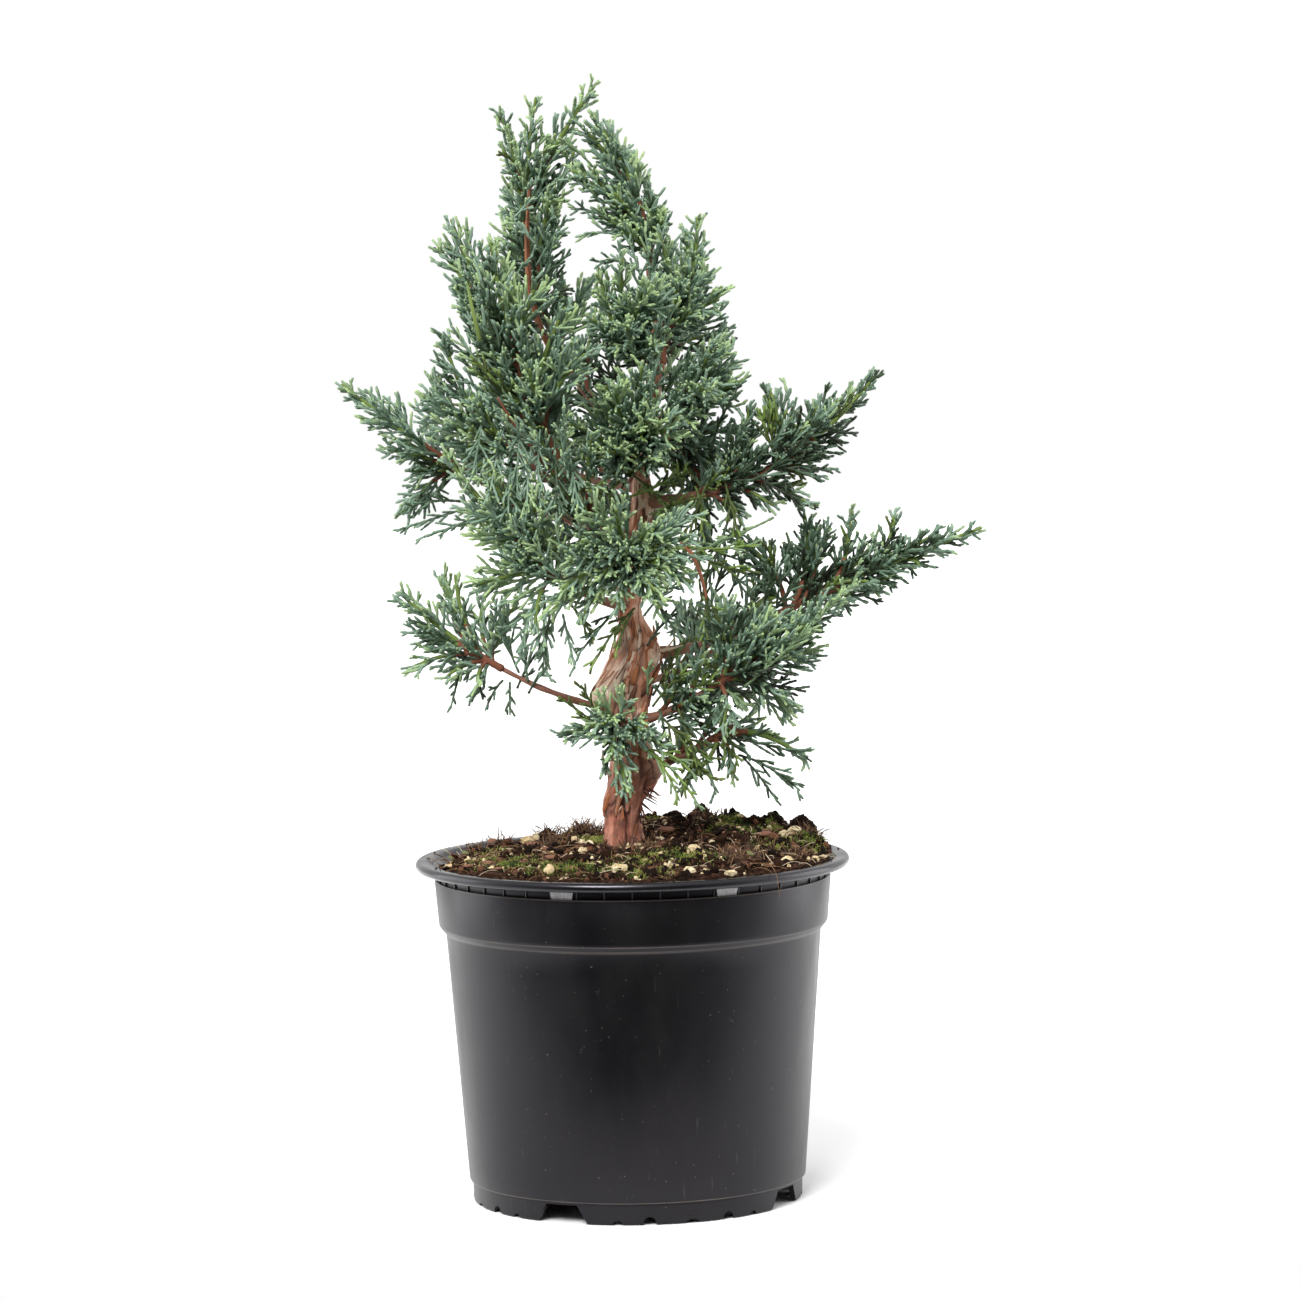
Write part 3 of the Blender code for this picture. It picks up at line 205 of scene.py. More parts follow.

# ---------------------------------------------------------------- foliage
# A mass: its limb; its plumes; its painted light, which lifts its leaf slots where it is lit and
# lowers them as painted shade where it is shaded; and the shares that it keeps of its reach and of
# its twigs.  A plume: the place on the stem where it starts, the x, y and height of its tip, and its
# reach to the right, to the left and deep, or one number for all three.  The first plume is the stem.
# A place below 0 is counted back on the bough.
Mass = namedtuple("Mass", "limb plumes hue reach twigs", defaults=(0, 1, 1))
Plume = namedtuple("Plume", "place tip right left deep")
MASSES = {
    "foliage_top_left": Mass("bough_leader", (
        (0, -36, 0, 482, 26, 20, 22), (0.6, -10, 5, 487, 13, 12, 14), (0.64, -52, -2, 476, 10, 10, 12),
        (0.06, -14, 22, 400, 18, 16, 20), (0.3, -30, -6, 440, 13, 13, 14),
        (0.45, -46, 4, 452, 10, 10, 12), (0.12, -44, 8, 424, 12, 12, 14),
        (-0.3, -8, 4, 392, 12, 12, 14), (0.35, -20, 6, 458, 11, 11, 13),
    ), reach=0.95),
    "foliage_top_right": Mass("trunk tip", (
        (0, -12, 0, 473, 14, 22, 22), (0.22, -1, 8, 460, 12, 12, 16), (0.12, -21, -8, 450, 12, 12, 14),
        (0.05, -10, -6, 430, 12, 10, 13), (0.2, -20, -4, 452, 9, 9, 11),
        (0.02, 0, -12, 424, 13, 13, 14), (0.02, 18, -6, 428, 10, 12, 13),
        (0.5, -21, -2, 473, 10, 11, 12), (0.05, 14, 4, 438, 11, 14, 14), (0.1, -3, -8, 440, 13, 13, 14),
        (0.4, -7, 4, 467, 10, 12, 12),
    ), hue=0.06, reach=0.92),
    "foliage_right_crown": Mass("trunk 376", (
        (0, 35, 6, 412, 16, 18, 24), (0.42, 33, 2, 429, 11, 14, 14), (0.35, 42, -8, 393, 13, 14, 18),
        (0.15, 16, -12, 422, 15), (0.1, 30, -6, 388, 14, 14, 16), (0.05, 24, -14, 402, 15),
        (0.3, 28, 10, 424, 13, 13, 14),
    ), reach=0.8),
    "foliage_centre_crown": Mass("trunk 362", (
        (0, -10, -12, 408, 20, 12, 20), (0.3, 14, -34, 400, 20, 18, 20), (0.1, 14, -28, 374, 15),
        (0.15, 10, -26, 398, 15), (0.2, 0, -26, 412, 16, 12, 16), (0.1, 2, -36, 384, 16, 14, 16),
        (0.1, -13, -24, 386, 14, 12, 16),
    ), reach=0.88),
    "foliage_right_shoulder": Mass("trunk 340", (
        (0, 46, 0, 373, 20, 24, 26), (0.25, 34, -36, 356, 20), (0.2, 47, 2, 350, 16, 14, 18),
        (0.15, 40, -22, 376, 16), (0.1, 28, -26, 340, 15), (0.1, 52, -8, 358, 14, 14, 15),
    ), reach=0.88),
    "foliage_left_crown": Mass("bough_left", (
        (0, -73, -30, 430, 26, 24, 24), (0.14, -16, -48, 372, 22, 22, 20),
        (0.4, -36, -42, 402, 22, 20, 20), (0.62, -79, -28, 418, 12, 11, 13), (0.1, -62, -40, 384, 18),
        (0.3, -56, -36, 420, 17, 17, 18), (0.06, -40, -50, 366, 18), (0.2, -24, -46, 392, 18),
        (-0.35, -42, -44, 344, 15), (0.2, -72, -32, 402, 16), (-0.45, -14, -46, 338, 15),
        (0.06, -70, -36, 370, 16), (-0.55, -32, -48, 322, 12), (-0.7, -22, -48, 314, 11, 11, 12),
    ), reach=0.95),
    "foliage_front_shoulder": Mass("trunk 320", (
        (0, -4, -46, 358, 26, 20, 22), (0.3, 22, -42, 340, 20, 18, 20), (0.1, -27, -40, 326, 15),
        (0.05, -16, -44, 312, 13), (0.1, 8, -40, 366, 16), (0.08, -8, -42, 358, 15),
        (0.15, -24, -44, 342, 17), (0.1, -10, -50, 330, 16), (0.1, 10, -48, 346, 16),
        (0.05, 12, -44, 326, 15),
    )),
    "foliage_left_side": Mass("bough_left_side", (
        (0, -84, -32, 354, 22), (0.1, -66, -44, 322, 18), (0.35, -77, -34, 380, 15, 13, 17),
        (0.2, -74, -40, 342, 16), (0.1, -62, -42, 352, 16), (0.08, -52, -46, 330, 15),
    )),
    "foliage_left_outer": Mass("bough_left_outer", (
        (0, -123, 0, 359, 18, 18, 22), (0.18, -96, 4, 302, 15, 15, 18),
        (0.15, -104, 0, 330, 15, 15, 16), (-0.3, -74, 6, 332, 14, 14, 16),
        (-0.3, -70, 6, 296, 13, 13, 14), (-0.45, -54, 16, 318, 12),
    ), reach=0.92),
    "foliage_front_left": Mass("bough_front", (
        (0, -78, -50, 331, 16, 18, 18), (0.2, -38, -56, 312, 18), (0.1, -66, -34, 272, 15, 15, 18),
        (0.25, -58, -52, 322, 15, 15, 16), (0.15, -58, -44, 298, 14, 14, 15),
        (0.1, -40, -46, 254, 10, 10, 12), (0.1, -46, -50, 288, 14, 14, 15), (-0.4, -32, -42, 292, 14),
    ), hue=0.3),
    "foliage_front": Mass("bough_front_right", (
        (0, -4, -58, 306, 26, 26, 22), (0.15, 27, -46, 292, 19, 19, 20),
        (0.1, -36, -50, 259, 12, 12, 13), (0.1, 12, -54, 270, 15, 15, 14),
        (0.1, -20, -54, 292, 18, 18, 16), (0.12, 12, -54, 297, 18, 18, 16),
        (0.08, -20, -46, 258, 9, 9, 10), (0.06, 30, -34, 276, 9, 9, 10),
        (0.1, -12, -54, 276, 16, 16, 15), (0.1, 18, -50, 278, 16, 16, 15), (0.08, -4, -52, 262, 11),
        (0.12, 25, -50, 288, 17, 17, 16), (0.1, 28, -46, 273, 14), (0.1, 0, -57, 288, 18, 18, 16),
        (0.1, -28, -54, 272, 15, 15, 14), (0.08, -24, -56, 284, 16, 16, 15), (0.06, 14, -50, 262, 13),
    ), hue=0.2),
    "foliage_left_low": Mass("bough_left_low", (
        (0, -100, -10, 269, 18, 19, 20), (0.3, -80, 4, 276, 13, 13, 16),
        (0.25, -94, -14, 236, 14, 14, 18), (0.14, -66, -14, 228, 11, 11, 13),
        (0.1, -48, -2, 262, 14, 14, 16), (0.2, -88, -12, 252, 15, 15, 16),
        (0.15, -79, -14, 232, 11, 11, 13), (0.1, -64, 2, 262, 12, 12, 14), (0.2, -75, -8, 276, 7, 7, 8),
    ), hue=0.06, reach=0.85, twigs=0.8),
    "foliage_foot": Mass("trunk 208", (
        (0, -12, -38, 212, 22, 18, 18), (0.35, -2, -36, 182, 16, 18, 15),
        (0.25, -27, -20, 206, 12, 12, 13), (0.25, 16, -26, 200, 13), (0.3, -8, -40, 198, 14, 14, 13),
        (0.2, 8, -34, 208, 12),
    ), reach=0.86),
    "foliage_right_high": Mass("bough_right_high", (
        (0, 110, -5, 360, 13, 20, 20), (0.1, 64, 4, 352, 18, 18, 20), (0.12, 84, -6, 318, 15, 17, 19),
        (-0.45, 50, -6, 299, 9, 9, 10), (-0.25, 64, -8, 303, 10, 10, 11),
        (-0.1, 80, -8, 303, 11, 11, 12), (-0.55, 40, -10, 318, 10, 10, 12),
        (0.08, 84, -2, 346, 17, 16, 17), (-0.35, 54, -6, 346, 15, 15, 16),
        (0.05, 76, -8, 324, 15, 15, 16), (-0.4, 48, -4, 322, 13, 13, 15),
        (0.2, 92, -2, 345, 11, 12, 14), (-0.3, 54, -6, 332, 13, 13, 14),
    ), hue=-0.34, reach=0.9),
    "foliage_inner_right": Mass("trunk 328", (
        (0, 54, 16, 336, 17, 15, 18), (0.3, 44, 20, 304, 14, 14, 15), (0.2, 40, 12, 322, 12, 12, 13),
        (0.2, 28, 16, 306, 10, 10, 12), (0.3, 36, 10, 284, 6, 6, 8), (0.3, 30, 6, 272, 5, 5, 7),
        (0.15, 22, 16, 318, 10, 10, 11), (0.1, 26, 20, 346, 12),
    ), hue=-0.25),
    "foliage_right_long": Mass("bough_right_long", (
        (0, 156, 10, 291, 18, 14, 18), (0.16, 82, 16, 293, 18, 18, 20),
        (0.26, 110, 20, 286, 15, 15, 17), (0.06, 46, 16, 290, 16, 18, 18),
        (0.35, 122, 12, 284, 13, 13, 14), (0.1, 96, 18, 272, 14, 14, 15),
        (-0.35, 62, 18, 276, 14, 14, 15), (0.1, 72, 20, 284, 14, 14, 16),
        (0.5, 136, 12, 289, 10, 10, 12), (0.25, 118, 12, 270, 12, 12, 13), (0.3, 98, 14, 298, 9, 9, 10),
        (0.5, 118, 12, 297, 8, 8, 9), (0.1, 78, 10, 298, 9, 9, 10),
    ), hue=-0.44, reach=0.9),
    "foliage_right_low": Mass("bough_right_low", (
        (0, 83, -12, 240, 18, 20, 22), (0.3, 100, -26, 271, 12, 12, 14), (0.1, 42, -24, 262, 20),
        (0.22, 70, -14, 214, 16), (-0.55, 30, -20, 222, 12), (-0.7, 24, -16, 232, 10, 10, 12),
        (0.05, 40, -22, 208, 13), (0.1, 36, -20, 256, 13), (0.1, 66, -18, 256, 18, 18, 17),
        (0.05, 44, -22, 238, 17, 17, 16), (-0.4, 32, -20, 240, 14), (0.08, 54, -16, 228, 16, 16, 15),
        (0.2, 82, -18, 254, 14), (-0.3, 36, -18, 218, 13), (0.1, 58, -22, 242, 16, 16, 15),
        (-0.4, 34, 6, 222, 12), (0.05, 50, 6, 214, 12), (-0.5, 24, 2, 210, 11),
    ), hue=-0.16),
    "foliage_right_hanging": Mass("bough_right_hanging", (
        (0, 78, 0, 191, 15, 13, 16), (0.15, 42, -8, 184, 15, 15, 16), (0.12, 56, 12, 212, 15, 15, 16),
        (0.1, 24, -12, 184, 12, 12, 13), (-0.6, 18, -8, 198, 10, 10, 11),
        (-0.2, 36, 4, 214, 11, 11, 12), (0.1, 44, 4, 204, 13, 13, 14), (-0.5, 24, 10, 206, 11, 11, 12),
        (-0.45, 26, -4, 206, 12), (-0.3, 22, -12, 180, 7, 7, 8), (0.1, 64, 2, 202, 12, 12, 13),
        (0.1, 34, -8, 194, 12),
    ), reach=0.75, twigs=0.55),
    "foliage_back": Mass("bough_back", (
        (0, -14, 76, 304, 22, 22, 20), (0.15, 24, 66, 298, 18, 18, 20), (0.1, -42, 56, 290, 16, 16, 18),
        (0.12, 4, 72, 304, 16), (0.1, -30, 66, 304, 15, 15, 16), (0.08, -8, 68, 282, 14, 14, 15),
        (-0.5, -16, 24, 308, 12),
    ), hue=-0.2),
    "foliage_back_high": Mass("bough_back_high", (
        (0, 24, 62, 412, 20, 20, 22), (0.1, 44, 52, 376, 18, 18, 20), (0.1, 0, 64, 374, 18),
        (0.1, 10, 58, 394, 16, 16, 17), (0.1, 32, 56, 392, 15, 15, 16), (-0.3, 26, 48, 362, 13, 13, 15),
    ), hue=-0.15),
    "foliage_back_left": Mass("bough_back_left", (
        (0, -66, 60, 352, 22, 22, 24), (0.1, -28, 70, 352, 18, 18, 20),
        (0.12, -50, 40, 384, 16, 16, 18), (0.1, -48, 62, 356, 17, 17, 18),
        (0.1, -56, 48, 372, 15, 15, 16), (-0.3, -40, 52, 336, 14, 14, 15), (-0.5, -22, 30, 340, 13),
        (-0.7, -14, 26, 330, 12), (0.05, -40, 40, 372, 14),
    ), hue=-0.15),
    "foliage_back_low": Mass("bough_back_low", (
        (0, 60, 58, 246, 20, 20, 22), (0.1, 24, 68, 254, 18), (0.1, 42, 62, 252, 15, 15, 16),
        (-0.35, 34, 52, 244, 12, 12, 13), (-0.5, 30, 28, 216, 12), (-0.2, 46, 30, 222, 12, 12, 13),
    ), hue=-0.25),
}
BARE_BOUGHS = ("bough_left_low", "bough_right_low", "bough_right_hanging")
# Thin single sprays of a mass: x, y and height of the start, the same three for the lean and
# for the tip as seen from the start, the longest shoot, and the slot of the leaves.  The
# darkest slots, 0 and 7, are painted shade on sprays that stand inside the crown.
LOOSE_SPRAYS = {
    "foliage_left_outer": (
        (-68, -8, 305, -16, -4, -5, -31, -8, -9, 8, 2), (-63, -10, 301, -13, -4, -5, -25, -8, -8, 8, 2),
        (-71, -4, 307, -13, -2, 2, -25, -4, -2, 7, 1),
    ),
    "foliage_front": (
        (-24, -36, 274, -4, -14, 12, -6, -22, 26, 10, 3),
        (-26, -36, 272, -8, -14, 10, -14, -22, 22, 10, 3),
        (-22, -36, 270, -8, -16, 6, -16, -24, 10, 10, 2),
        (-20, -36, 268, -6, -16, 2, -14, -24, 0, 9, 2),
        (-18, -36, 276, -2, -16, 14, -2, -24, 28, 10, 3),
        (-30, -36, 276, -12, -14, 14, -20, -22, 26, 10, 3),
        (-30, -36, 272, -14, -14, 8, -24, -22, 16, 10, 2),
        (-36, -40, 263, 0, -2, -16, 1, -4, -30, 10, 2), (-33, -42, 262, -2, -2, -10, -4, -3, -26, 9, 1),
        (-40, -40, 265, -4, -3, -9, -7, -6, -25, 8, 2), (-28, -38, 260, 2, -2, -9, 5, -4, -24, 8, 2),
        (3, -26, 261, -10, -7, -8, -20, -14, -26, 8, 7),
        (-4, -30, 262, -8, -6, -8, -18, -12, -20, 8, 1), (12, -30, 264, 4, -8, -6, 10, -12, -14, 7, 1),
        (-30, -34, 268, -10, -6, -6, -22, -10, -13, 9, 2),
        (-28, -36, 264, -6, -6, -10, -16, -10, -18, 9, 2),
        (-34, -36, 270, -10, -4, -2, -20, -6, -5, 9, 3), (2, -28, 259, -4, -6, -4, -8, -12, -18, 7, 7),
        (-25, -34, 264, 5, -3, -5, 11, -6, -16, 8, 7),
    ),
    "foliage_left_low": (
        (-55, -8, 229, -4, -3, -3, -8, -6, -13, 6, 1), (-52, -8, 228, 0, -4, -4, 0, -8, -14, 6, 1),
        (-44, -6, 223, 4, -4, 8, 8, -8, 10, 6, 1), (-71, -8, 243, -3, -3, -11, -7, -6, -26, 6, 1),
        (-49, -4, 225, 5, -2, 12, 11, -4, 18, 7, 1), (-48, -6, 232, -6, -4, 14, -8, -6, 30, 9, 2),
        (-44, -8, 228, -2, -4, 12, 0, -6, 26, 9, 2), (-60, -8, 238, -6, -4, -10, -10, -6, -18, 7, 2),
    ),
    "foliage_right_low": (
        (14, -12, 212, 6, -3, -6, 11, -6, -13, 9, 7), (17, -12, 214, 7, -4, -4, 15, -8, -10, 9, 1),
        (21, -12, 216, 4, -3, -11, 8, -6, -26, 8, 7), (10, -14, 217, 8, -4, 11, 15, -8, 17, 9, 7),
        (13, -16, 216, 1, -4, -4, 3, -8, -14, 8, 1), (25, -12, 221, 7, -5, -3, 15, -10, -11, 9, 1),
        (8, -8, 243, 6, -5, 10, 11, -10, 14, 8, 1), (7, -6, 256, 7, -5, 10, 15, -10, 15, 9, 2),
        (37, -10, 221, 5, -3, -13, 10, -6, -31, 8, 7), (8, -14, 222, 0, -6, 10, 1, -12, 15, 7, 4),
        (50, -24, 226, 24, -6, 20, 46, -10, 44, 10, 4), (14, 2, 206, 10, 2, 0, 22, 4, 2, 10, 7),
        (16, 4, 210, 12, 4, 4, 24, 6, 10, 10, 0), (12, 4, 200, 10, 2, -4, 22, 4, -5, 10, 7),
        (20, 4, 214, 12, 4, -10, 26, 6, -12, 10, 0), (24, 4, 218, 14, 4, 6, 28, 6, 12, 10, 0),
        (14, 4, 212, 6, 2, 12, 14, 4, 24, 10, 0), (10, 4, 220, 8, 2, 12, 14, 4, 26, 10, 7),
        (18, -10, 208, 8, -2, -8, 18, -4, -15, 9, 7), (16, -10, 210, 10, -2, 4, 22, -2, 4, 9, 1),
    ),
    "foliage_right_hanging": (
        (6, -22, 199, 12, -4, -4, 25, -7, -27, 8, 8), (8, -22, 198, 7, -5, -4, 13, -8, -21, 8, 8),
        (8, -22, 199, 12, -4, 0, 21, -6, -13, 8, 8), (10, -10, 194, 14, -4, 2, 28, -8, -10, 8, 7),
        (39, -2, 202, 19, -2, -2, 39, -4, -9, 11, 1), (47, -2, 194, 13, -2, -3, 27, -4, -16, 11, 1),
        (49, -2, 193, 7, -1, -7, 15, -2, -20, 9, 1), (30, -6, 201, 4, -2, -9, 7, -4, -24, 8, 2),
        (25, -8, 201, 3, -3, -5, 5, -6, -15, 8, 7),
    ),
    "foliage_right_high": (
        (37, -6, 328, 5, -4, 16, 11, -8, 25, 8, 1), (30, -8, 328, 3, -5, 13, 6, -10, 20, 8, 1),
        (35, -8, 313, -5, -3, -11, -10, -6, -29, 8, 7), (43, -8, 314, 3, -2, -12, 7, -4, -29, 9, 7),
        (25, -8, 312, -5, -4, -6, -11, -8, -19, 8, 7), (64, -8, 298, -21, -2, -10, -42, -4, -17, 8, 4),
        (47, -6, 304, -6, -3, -14, -12, -6, -34, 8, 1), (25, -6, 313, -5, -7, 8, -9, -14, 10, 7, 7),
        (12, 4, 306, 8, -4, 6, 15, -8, 14, 8, 7), (10, 4, 310, 7, -4, 6, 13, -8, 2, 8, 7),
        (30, -4, 312, 4, -4, -8, 2, -8, -22, 9, 8), (46, -4, 312, 6, -4, 10, 14, -6, 18, 9, 2),
        (50, -4, 314, 2, -4, 16, 2, -6, 28, 9, 2), (60, -4, 316, 8, -4, -8, 18, -6, -13, 9, 0),
        (42, -4, 312, 10, -4, 6, 20, -6, 12, 9, 1), (33, -24, 268, 4, -2, -8, 9, -2, -18, 9, 7),
        (34, -24, 266, 0, -4, -8, -2, -4, -18, 8, 7), (26, -18, 287, 14, -4, -3, 30, -4, 1, 9, 8),
        (30, -20, 284, 12, -2, -8, 24, -2, -8, 9, 7), (50, -10, 318, 10, -4, 8, 20, -4, 20, 10, 1),
        (54, -10, 314, 12, -4, 6, 24, -4, 16, 10, 1), (56, -10, 318, 8, -4, -8, 20, -4, -12, 10, 0),
        (62, -10, 322, 10, -4, -4, 22, -4, -4, 10, 0), (66, -10, 328, 10, -4, 2, 22, -4, 10, 10, 1),
        (46, -4, 310, 12, -4, 10, 20, -6, 20, 9, 2),
    ),
    "foliage_right_long": (
        (60, 10, 252, 8, -6, 10, 16, -10, 20, 10, 1), (62, 10, 250, 12, -6, 6, 24, -10, 12, 10, 1),
        (58, 10, 254, 4, -8, 14, 10, -12, 26, 10, 1), (56, 10, 252, 10, -6, 2, 24, -8, 2, 9, 0),
    ),
    "foliage_inner_right": (
        (30, 6, 294, 11, -3, -12, 22, -6, -30, 9, 1), (25, 8, 302, 9, -3, -10, 18, -6, -25, 9, 1),
        (36, 16, 258, 4, -2, 12, 8, -4, 26, 10, 1), (30, 14, 254, 4, -2, 12, 6, -4, 25, 10, 7),
        (44, 16, 262, 6, -2, 12, 10, -4, 24, 9, 1),
    ),
    "foliage_top_right": (
        (-7, -4, 434, -8, -3, 10, -16, -6, 13, 8, 3), (-3, -4, 422, -8, -4, 2, -16, -8, -1, 8, 3),
        (-12, -2, 451, -7, -2, 9, -14, -4, 12, 7, 4), (-5, -4, 428, -9, -5, 6, -17, -10, 5, 8, 2),
        (3, -4, 409, -7, -5, 3, -14, -10, 1, 8, 2), (8, -6, 398, -6, -4, 12, -11, -8, 19, 8, 2),
        (10, -6, 396, -4, -3, 15, -7, -6, 24, 8, 3), (11, -2, 392, 2, -6, 12, 3, -8, 24, 9, 2),
        (12, -2, 400, 0, -6, 12, -2, -8, 24, 9, 3), (12, 0, 396, 6, -6, 12, 11, -8, 23, 9, 3),
        (13, -2, 404, 4, -4, 12, 7, -6, 24, 9, 2), (12, -2, 384, -4, -6, 12, -4, -10, 22, 9, 2),
    ),
    "foliage_top_left": (
        (-37, -4, 409, 7, -1, 13, 14, -2, 20, 8, 2), (-38, -2, 399, 8, -1, 11, 16, -2, 15, 8, 1),
        (-40, -4, 392, 10, -1, 6, 19, -2, 7, 8, 0), (-49, 0, 378, 9, -2, 4, 18, -4, 1, 8, 0),
        (-48, -13, 402, 4, -2, 6, 10, -4, 12, 6, 2), (-37, -12, 418, -5, -3, 6, -11, -4, 12, 6, 3),
        (-40, -12, 386, -6, -3, 5, -12, -5, 11, 6, 2), (-46, -12, 430, 4, -1, 4, 9, -2, 9, 6, 3),
    ),
    "foliage_right_shoulder": (
        (8, -8, 338, 4, -10, 14, 6, -18, 28, 10, 2), (12, -10, 352, -2, -12, 18, 4, -18, 34, 10, 2),
        (12, -8, 362, 6, -10, 16, 10, -16, 30, 10, 3), (12, -8, 376, -2, -12, 12, 0, -18, 26, 10, 3),
        (10, -6, 334, 8, -10, 10, 16, -16, 20, 10, 2), (12, -6, 346, 8, -8, 10, 16, -12, 24, 10, 1),
    ),
    "foliage_back_left": (
        (-10, 12, 322, -8, 6, 8, -16, 8, 20, 10, 0), (-6, 12, 330, -8, 6, 12, -14, 8, 24, 10, 0),
        (-6, 12, 345, -4, 8, 7, -6, 14, 22, 10, 0), (-4, 14, 338, -8, 8, 6, -14, 12, 15, 10, 0),
        (2, 12, 350, -6, 8, 10, -10, 14, 22, 10, 0), (6, 16, 296, 8, 6, 10, 16, 8, 22, 10, 7),
        (4, 16, 300, -10, 6, 8, -20, 8, 18, 10, 7), (8, 14, 304, 10, 4, 8, 22, 6, 14, 10, 0),
        (2, 14, 290, -12, 6, 8, -24, 8, 16, 10, 7), (6, 14, 312, -10, 6, 8, -20, 8, 16, 10, 0),
        (8, 16, 288, 10, 4, 8, 20, 4, 16, 10, 7), (0, 16, 306, -14, 6, 2, -28, 6, 6, 10, 7),
        (-2, -6, 300, -10, -14, 6, -18, -22, 16, 8, 7), (-2, -6, 294, -10, -16, 6, -22, -24, 10, 8, 7),
        (10, -4, 300, 10, -10, 4, 20, -16, 8, 8, 7), (12, -6, 324, -9, -6, -4, -18, -10, -12, 8, 7),
        (-2, 12, 352, -10, 6, 10, -20, 8, 22, 10, 0), (0, 12, 344, -12, 6, 8, -24, 8, 16, 10, 0),
        (2, 12, 358, -10, 6, 12, -18, 8, 26, 10, 0), (-4, 12, 340, -12, 4, 6, -24, 6, 10, 10, 1),
        (2, -6, 318, 8, -6, -5, 15, -9, -14, 7, 7), (0, -8, 308, 10, -6, 2, 20, -9, 9, 7, 8),
    ),
    "foliage_left_crown": (
        (-24, -34, 316, -6, -12, 10, -14, -20, 20, 10, 2),
        (-18, -32, 306, -6, -14, 12, -8, -24, 24, 10, 2),
        (-28, -38, 324, 4, -10, 12, 2, -18, 26, 10, 3),
        (-14, -28, 296, -6, -14, 8, -16, -24, 16, 10, 1),
        (-32, -40, 330, -12, -10, 6, -20, -16, 16, 10, 3),
        (-10, -26, 292, 0, -16, 10, -4, -28, 22, 10, 2),
        (-36, -34, 312, -8, -10, 6, -18, -18, 12, 9, 2),
        (-30, -36, 302, -8, -10, 4, -18, -18, 10, 9, 1), (-22, -34, 294, -8, -12, 4, -18, -20, 8, 9, 2),
        (-40, -36, 322, -8, -10, 8, -18, -16, 12, 9, 2),
        (-24, -34, 300, -10, -14, 8, -16, -22, 22, 9, 3), (-58, -36, 364, -8, -2, 8, -16, -2, 21, 9, 3),
        (-60, -36, 356, -10, -2, 6, -20, -2, 14, 9, 2), (-56, -36, 372, -8, -2, 10, -12, -2, 23, 9, 3),
        (-60, -36, 366, -10, 0, 8, -18, 0, 15, 9, 2),
        (-44, -42, 344, -2, -10, -14, -2, -14, -32, 12, 2),
        (-36, -40, 340, -2, -12, -14, 0, -17, -32, 12, 2),
        (-52, -40, 340, -3, -10, -12, -6, -14, -28, 12, 3),
        (-30, -40, 336, 0, -12, -14, 2, -17, -30, 12, 1),
        (-40, -42, 332, -2, -12, -14, -2, -16, -28, 12, 3),
        (-48, -42, 330, -2, -10, -14, -2, -14, -26, 11, 2),
        (-60, -40, 348, -2, -8, -14, -6, -12, -30, 11, 2),
        (-24, -40, 330, 2, -12, -12, 4, -17, -24, 11, 2),
    ),
    "foliage_foot": (
        (-12, -16, 208, -10, -3, 8, -19, -5, 15, 7, 7), (-13, -18, 206, -8, -3, 1, -18, -5, 0, 7, 1),
        (-12, -16, 210, -5, -4, 10, -9, -6, 18, 7, 7), (-10, -20, 204, -8, -4, 2, -17, -6, 0, 7, 2),
    ),
    "foliage_centre_crown": (
        (3, -10, 352, -9, -4, 10, -17, -8, 15, 8, 0), (3, -10, 359, -7, -3, 2, -15, -6, -2, 8, 0),
        (3, -14, 372, -9, -2, 6, -17, -4, 7, 8, 1),
    ),
}
SHOWN_STEMS = {  # mass: stems seen from the front, as start, lean, tip, two radii and a slot
    "foliage_top_left": (
        # a lit stem and, just behind it, a thicker dark copy that paints its shaded side
        ((-33, 6, 374), (-45, -12, 396), (-40, -8, 438), 1.1, 0.5, 3),
        ((-32.4, 7, 374), (-44.2, -11, 396), (-39.4, -6, 444), 1.4, 0.8, 0),
    ),
    "foliage_left_crown": (
        ((-27, -30, 316), (-42, -42, 332), (-54, -50, 354), 1.0, 0.6, 0),
        ((-61, -48, 378), (-63, -54, 388), (-66, -44, 402), 1.0, 0.7, 2),
    ),
    "foliage_right_high": (
        ((22, -12, 290), (31, -22, 284), (34, -26, 264), 1.1, 0.7, 3),
    ),
}
WINDOW = (3.5, 6, 8.5), 0, (298, 328)  # x places, depth and heights where the trunk shows
CLEAR_WIDTH = 1.7 * MM
CLEARED_SHARE = 0.58  # of the shoots in front of a shown stem, how many go
PLUME_BEND = 0.45
PULL_TO_TIP = 1.5  # how strongly a plume turns from its stem's heading towards its tip
SPLAY = (math.radians(49), math.radians(26))  # twig to axis, at the base and at the tip
FORWARD = 1.25
GOLDEN_ANGLE = math.radians(137.5)
SPACE_MARGIN = 1.5 * MM
LIMB_MARGIN = 0.8 * MM
SHOOT_SIZES = 5.4 * MM, 14.5 * MM
FORK_SIZES = 3.4 * MM, 7.8 * MM
LOOSE_STEP = 3.7 * MM
LIMB_REACH = 13  # of the twigs that stand straight on a bough, in millimetres
# leaf slots, from the shaded inside of a spray to its bright tips
LEAF_SLOTS = (
    "leaf_shade", "leaf_deep", "leaf_blue", "leaf_frosted", "leaf_green", "leaf_young",
    "leaf_bright", "leaf_olive", "leaf_fresh",
)
LIGHTER = (1, 2, 3, 5, 5, 6, 6, 8, 4)  # the slot of a shoot's tip, for each leaf slot
LEAF_TINTS = (  # slots to draw from, up to each step of light
    (0.08, (0, 1, 1, 7)), (0.34, (1, 2, 2, 2)), (0.70, (2, 2, 3, 3, 3, 4)),
    (0.95, (3, 3, 3, 4, 5)), (math.inf, (3, 3, 4, 5, 5)),
)
STEM_SLOTS = ("stem_brown", "stem_ochre", "stem_green", "stem_bark")


# ---------------------------------------------------------------- settings
def number(name, description, default, **more):
    return FloatProperty(name=name, description=description, default=default, **more)


